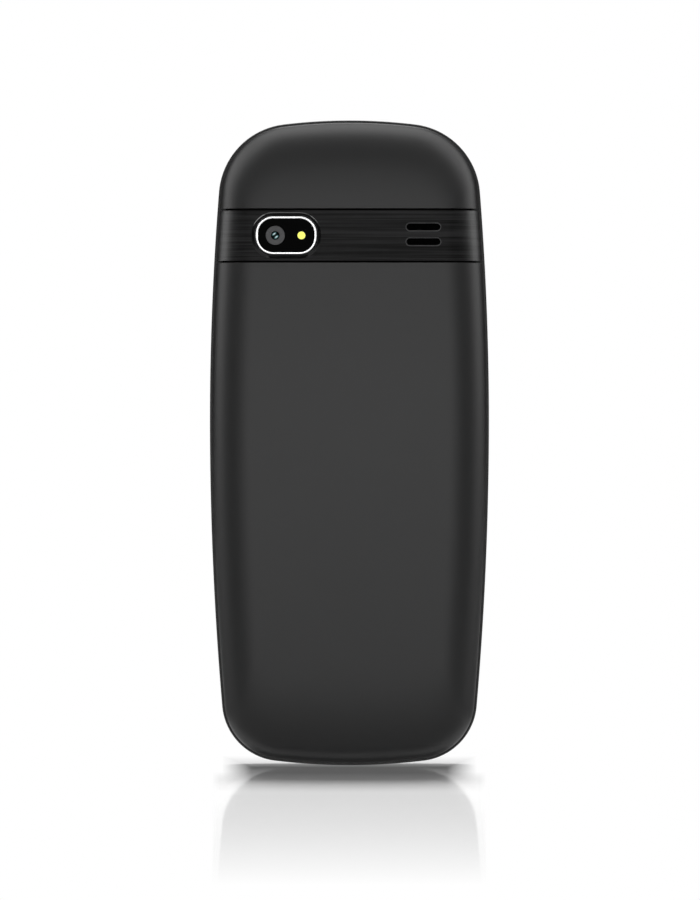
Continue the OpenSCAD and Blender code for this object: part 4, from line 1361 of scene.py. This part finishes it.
class PHONE_OT_inside(Build):
    """Finishes the pieces inside, and adds the card contacts"""

    bl_idname = "phone.inside"
    bl_label = "Inside"

    def build(self, scene):
        gold = metal("gold_plate", (0.75, 0.55, 0.2), 0.25)
        steel = metal("bright_steel", (0.5, 0.51, 0.53), 0.34, (0.08, 1, 1))
        carrier = plastic("carrier_plastic", (0.012, 0.012, 0.014), 0.4)
        speaker = plastic("speaker_plastic", (0.002, 0.002, 0.0022), 0.6, gleam=0.06)
        silicone = plastic("soft_silicone", (0.07, 0.072, 0.078), 0.65)
        finishes = {
            "rear_housing": chassis("chassis_plastic", (0.05, 0.052, 0.056)),
            "loudspeaker": speaker,
            "earpiece": speaker,
            "antenna_carrier": carrier,
            "battery_contacts": carrier,
            "audio_jack": carrier,
            "antenna": metal("copper_strip", (0.6, 0.3, 0.16), 0.3),
            "battery": wrapped("battery_wrap", (0.1, 0.105, 0.11)),
            "battery_terminals": gold,
            "battery_springs": gold,
            "main_board": circuit("board_mask", (0.015, 0.1, 0.045)),
            "motor_weight": metal("weight_steel", (0.2, 0.2, 0.21), 0.45),
            "display_module": gloss("display_gloss", (0.02, 0.024, 0.03), 0.2),
            "keypad_sheet": silicone,
            "nav_pad": silicone,
            "shield_can": steel,
            "sim_sockets": steel,
            "memory_card_socket": steel,
            "usb_port": steel,
            "microphone": steel,
            "vibration_motor": steel,
            "key_domes": steel,
        }
        for node, material in finishes.items():
            dress(frame["nodes"][node], material)
        for node in ("rear_housing", "battery", "loudspeaker", "antenna_carrier", "battery_contacts"):
            soften(frame["nodes"][node], 0.12 * MM, 50.0)
        self.screws(scene, steel)
        self.contacts(scene, gold)

    def screws(self, scene, material):
        """The six housing screws, with a rounded head and a cross."""
        inside = scene.phone_inside
        low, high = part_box("housing_screws")
        seat = low[1] + inside.head_t
        spots = [(at.x, seat, at.z) for at in islands("housing_screws")]
        values = {
            "Head": inside.head,
            "Thickness": inside.head_t,
            "Shank": inside.shank,
            "Length": high[1] - seat,
            "Material": material,
        }
        piece = grow_tree("cross_screws", screw_tree(), values, spots)
        soften(piece, 0.08 * MM, 60.0)
        bake(piece)
        settle(piece, "phone", "housing_screws", slot="stamped_steel")

    def contacts(self, scene, material):
        """The gilt contacts that show in the windows of the card sockets."""
        inside = scene.phone_inside
        tree = pad_tree()
        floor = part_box("sim_sockets")[0][1] + 0.92 * MM
        values = {
            "Columns": inside.pad_columns,
            "Rows": inside.pad_rows,
            "Width": inside.pad_w,
            "Height": inside.pad_h,
            "Pad": Vector((1.8, 0.12, 1.2)) * MM,
            "Material": material,
        }
        for count, at in enumerate(islands("sim_sockets") + islands("memory_card_socket")):
            values["Centre"] = Vector((at.x, floor, at.z))
            piece = grow_tree("card_contacts_%d" % (count + 1), tree, values)
            settle(piece, "phone", slot="gold_contact")


class PHONE_OT_stage(Build):
    """Sets the floor, the backdrop, the lamps and the camera"""

    bl_idname = "phone.stage"
    bl_label = "Stage"

    def lamp(self, scene, name, place, target, size, glow, roll=0.0):
        """A softbox that points at a target, rolled about its axis, and stays out of the picture."""
        light = bpy.data.lights.new(name, "AREA")
        light.shape = "RECTANGLE"
        light.size, light.size_y = size
        light.energy = glow * math.pi * size[0] * size[1]
        made = bpy.data.objects.new(name, light)
        made.location = place
        aimed = (Vector(target) - Vector(place)).to_track_quat("-Z", "Y")
        made.rotation_euler = (aimed @ Quaternion((0.0, 0.0, 1.0), roll)).to_euler()
        made.visible_camera = False
        scene.collection.objects.link(made)
        return made

    def white_seen(self, graph):
        """1 for rays that show the background itself: straight, mirrored or through glass."""
        ray = graph.add("ShaderNodeLightPath")
        seen = graph.out(ray, "Is Camera Ray").reckon("MAXIMUM", graph.out(ray, "Is Glossy Ray"))
        return seen.reckon("MAXIMUM", graph.out(ray, "Is Transmission Ray"))

    def mixed(self, graph, factor, first, second):
        """One shader laid over another."""
        made = graph.add("ShaderNodeMixShader", Fac=factor)
        graph.feed(made.inputs[1], first)
        graph.feed(made.inputs[2], second)
        return graph.out(made, "Shader")

    def bare(self, name):
        """A material on an empty tree, and its graph."""
        material = bpy.data.materials.new(name)
        material.use_nodes = True
        graph = Graph(material.node_tree)
        graph.tree.nodes.clear()
        return material, graph

    def close(self, graph, shader):
        """Ends a material's tree with a shader."""
        end = graph.add("ShaderNodeOutputMaterial")
        graph.feed(end.inputs["Surface"], shader)

    def close_one_sided(self, graph, face):
        """Ends a material's tree with a shader on its face, and clear from behind."""
        clear = graph.out(graph.add("ShaderNodeBsdfTransparent"), "BSDF")
        behind = graph.out(graph.add("ShaderNodeNewGeometry"), "Backfacing")
        self.close(graph, self.mixed(graph, behind, face, clear))

    def paper(self, name):
        """White paper: its material, the graph, the place and the plain shaders."""
        material, graph = self.bare(name)
        place = graph.out(graph.add("ShaderNodeTexCoord"), "Object")
        grain = graph.out(graph.add("ShaderNodeTexNoise", Vector=place, Scale=40.0), "Fac")
        white = graph.blend(grain, (0.9, 0.9, 0.9), (0.92, 0.92, 0.92))
        soft = graph.out(graph.add("ShaderNodeBsdfDiffuse", Color=white), "BSDF")
        glow = graph.out(graph.add("ShaderNodeEmission", Strength=1.0), "Emission")
        return material, graph, place, soft, glow

    def floor_paper(self, sizes):
        """Paper that mirrors a little near the phone and fades to white away from it."""
        material, graph, place, soft, glow = self.paper("floor_paper")
        reach = sizes.shadow_reach
        split = graph.add("ShaderNodeSeparateXYZ", Vector=place)
        y = graph.out(split, "Y")
        depth = 0.0 - y
        # Sideways, as the camera sees it: the shadow's sides close by, the mirror's further in front
        narrowing = (1.0 + y * (1.0 / sizes.distance)).reckon("MAXIMUM", 0.2)
        aside = graph.out(split, "X").reckon("ABSOLUTE") / narrowing
        shadow_edge = aside.ramp(sizes.shadow_side, sizes.fade_side)
        mirror_edge = aside.ramp(sizes.mirror_side, sizes.mirror_side * 1.06)
        past = depth.ramp(reach * 0.4, reach * 1.6)
        beside = shadow_edge * (1.0 - past) + mirror_edge * past
        before = depth.ramp(sizes.mirror_reach, sizes.fade_reach)
        behind = y.ramp(-0.4 * sizes.fade_side, 1.5 * sizes.fade_side)
        fade = beside.reckon("MAXIMUM", before).reckon("MAXIMUM", behind)
        # To the camera alone, the contact shadow is painted darker and mirrors less
        straight = graph.out(graph.add("ShaderNodeLightPath"), "Is Camera Ray")
        black = graph.out(graph.add("ShaderNodeBsdfDiffuse", Color=(0.0, 0.0, 0.0, 1.0)), "BSDF")
        shadow_paint_zone = 1.0 - depth.ramp(reach * 0.45, reach * 1.05)
        paper_with_painted_shadow = self.mixed(graph, straight * shadow_paint_zone * sizes.dulling, soft, black)
        shine = graph.out(graph.add("ShaderNodeBsdfGlossy", Roughness=0.05), "BSDF")
        plain = 1.0 - depth.ramp(reach * 0.15, reach)
        near = self.mixed(graph, (1.0 - straight * plain) * sizes.mirror, paper_with_painted_shadow, shine)
        self.close(graph, self.mixed(graph, fade * self.white_seen(graph), near, glow))
        return material

    def wall_paper(self):
        """White backdrop that is clear from behind."""
        material, graph, _, soft, glow = self.paper("wall_paper")
        self.close_one_sided(graph, self.mixed(graph, self.white_seen(graph), soft, glow))
        return material

    def sheet(self, scene, name, corners, material):
        """A flat four-cornered sheet."""
        mesh = bpy.data.meshes.new(name)
        mesh.from_pydata(corners, [], [(0, 1, 2, 3)])
        mesh.materials.append(material)
        made = bpy.data.objects.new(name, mesh)
        scene.collection.objects.link(made)
        return made

    def card(self, name, strength):
        """Card of one even brightness on its face, and clear from behind."""
        material, graph = self.bare(name)
        glow = graph.add("ShaderNodeEmission", Strength=strength)
        self.close_one_sided(graph, graph.out(glow, "Emission"))
        return material

    def flags(self, scene):
        """Black cards beside the lamps and grey ones on the floor, which only reflections show."""
        black = self.card("black_card", 0.0)
        grey = self.card("grey_card", scene.phone_stage.bounce)
        near = -0.25
        fore = -0.06
        foot = -0.008
        past = 0.1
        rear = 0.3
        inner = 0.085
        outer = 0.46
        high = 0.43
        low = 0.0005
        slim = 0.035
        broad = 0.05
        cards = {
            "flag_top": self.upright(near, -inner, inner, 0.14, 0.45),
            "flag_floor": self.level(low, (-broad, near), (broad, near), (slim, fore), (-slim, fore)),
            "bounce_floor": self.level(low, (-slim, fore), (slim, fore), (slim, foot), (-slim, foot)),
        }
        halves = {
            "flag_side": self.upright(near, inner, outer, 0.0, high),
            "bounce_side": self.level(low, (slim, past), (broad, near), (outer, near), (outer, past)),
            "flag_rear": self.upright(rear, 2.0, inner, 0.0, 0.6),
        }
        for side, name in ((-1, "l"), (1, "r")):
            for part, corners in halves.items():
                placed = [(side * x, y, z) for x, y, z in corners]
                cards["%s_%s" % (part, name)] = placed if side > 0 else placed[::-1]
        for name, corners in cards.items():
            made = self.sheet(scene, name, corners, grey if name.startswith("bounce") else black)
            made.visible_camera = False
            made.visible_diffuse = False
            made.visible_transmission = False
            made.visible_shadow = False

    def upright(self, y, x0, x1, z0, z1):
        """Corners of a sheet that stands across the view."""
        return [(x0, y, z0), (x0, y, z1), (x1, y, z1), (x1, y, z0)]

    def level(self, z, *corners):
        """Corners of a sheet that lies level."""
        return [(x, y, z) for x, y in corners]

    def build(self, scene):
        stage = scene.phone_stage
        wide = 3.0
        back = 0.9
        floor = self.level(0.0, (-wide, -wide), (wide, -wide), (wide, wide), (-wide, wide))
        self.sheet(scene, "floor", floor, self.floor_paper(stage))
        wall = self.upright(back, wide, -wide, 0.0, wide)
        self.sheet(scene, "backdrop", wall, self.wall_paper())
        self.flags(scene)
        self.lamps(scene)
        self.room(scene)
        self.view(scene)

    def lamps(self, scene):
        """Softboxes all round, and a small strip that rims each upper corner."""
        stage = scene.phone_stage
        aim = (0.0, 0.0, 0.06)
        self.lamp(scene, "front_softbox", (0.0, -1.3, 0.08), aim, (0.72, 0.8), stage.front_glow)
        below = (0.0, -0.09, 0.0)
        strip = self.lamp(scene, "top_strip", (0.0, -0.09, 0.52), below, (0.5, 0.4), stage.top_glow)
        strip.visible_diffuse = False
        foot = (0.0, 0.0, 0.0)
        key = self.lamp(scene, "key_lamp", (0.0, 0.42, 0.8), foot, (0.22, 0.22), stage.key_glow)
        key.visible_glossy = False
        self.lamp(scene, "rear_softbox", (0.0, 0.8, 0.5), aim, (0.8, 0.8), stage.rear_glow)
        across = (0.0, -0.045, 0.26)
        corners = (0.0, 0.0, 0.095)
        for side, name in ((-1, "l"), (1, "r")):
            place = (side * 0.24, -0.045, 0.26)
            box = self.lamp(scene, "side_softbox_" + name, place, across, (0.16, 0.34), stage.side_glow)
            box.visible_diffuse = False
            place = (side * 0.134, -0.115, 0.221)
            roll = side * -0.96
            self.lamp(scene, "kicker_" + name, place, corners, (0.12, 0.03), stage.kick_glow, roll)

    def room(self, scene):
        """A dim room that looks white wherever it is seen."""
        world = bpy.data.worlds.new("room")
        scene.world = world
        world.use_nodes = True
        sky = world.node_tree.nodes["Background"]
        sky.inputs["Color"].default_value = (1.0, 1.0, 1.0, 1.0)
        graph = Graph(world.node_tree)
        seen = self.white_seen(graph)
        graph.feed(sky.inputs["Strength"], seen + (1.0 - seen) * scene.phone_stage.room)

    def view(self, scene):
        """The camera, level and straight at the phone's back."""
        stage = scene.phone_stage
        scene.view_settings.view_transform = "Standard"
        lens = bpy.data.cameras.new("view")
        lens.sensor_width = 24.0
        lens.lens = lens.sensor_width * stage.distance / stage.view_span
        lens.clip_end = 20.0
        eye = bpy.data.objects.new("view", lens)
        eye.location = (0.0001, -stage.distance - 0.002, stage.view_height)
        eye.rotation_euler = (TURN / 4, 0.0, 0.0)
        scene.collection.objects.link(eye)
        scene.camera = eye


class PHONE_PT_panel(bpy.types.Panel):
    """Sizes, finishes and build steps of the phone"""

    bl_label = "Feature phone"
    bl_idname = "PHONE_PT_panel"
    bl_space_type = "VIEW_3D"
    bl_region_type = "UI"
    bl_category = "Phone"

    def draw(self, context):
        for name, group in GROUPS:
            box = self.layout.box()
            box.label(text=group.__doc__)
            for key in group.__annotations__:
                box.prop(getattr(context.scene, name), key)
        for step in STEPS:
            self.layout.operator(step.bl_idname)


GROUPS = (
    ("phone_outline", PhoneOutline),
    ("phone_shell", PhoneShell),
    ("phone_camera", PhoneCamera),
    ("phone_keys", PhoneKeys),
    ("phone_inside", PhoneInside),
    ("phone_finish", PhoneFinish),
    ("phone_stage", PhoneStage),
)
STEPS = (
    PHONE_OT_back_shells,
    PHONE_OT_front_cover,
    PHONE_OT_camera,
    PHONE_OT_speaker,
    PHONE_OT_keys,
    PHONE_OT_display,
    PHONE_OT_inside,
    PHONE_OT_stage,
)


def register():
    """Registers the sizes, the build steps and the panel."""
    for name, group in GROUPS:
        bpy.utils.register_class(group)
        setattr(bpy.types.Scene, name, PointerProperty(type=group))
    for step in STEPS:
        bpy.utils.register_class(step)
    bpy.utils.register_class(PHONE_PT_panel)


def unregister():
    """Takes them away again."""
    bpy.utils.unregister_class(PHONE_PT_panel)
    for step in reversed(STEPS):
        bpy.utils.unregister_class(step)
    for name, group in reversed(GROUPS):
        delattr(bpy.types.Scene, name)
        bpy.utils.unregister_class(group)


def main():
    """Builds everything."""
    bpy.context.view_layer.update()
    register()
    bpy.ops.phone.back_shells()
    bpy.ops.phone.front_cover()
    bpy.ops.phone.camera()
    bpy.ops.phone.speaker()
    bpy.ops.phone.keys()
    bpy.ops.phone.display()
    bpy.ops.phone.inside()
    bpy.ops.phone.stage()


if __name__ == "__main__":
    main()
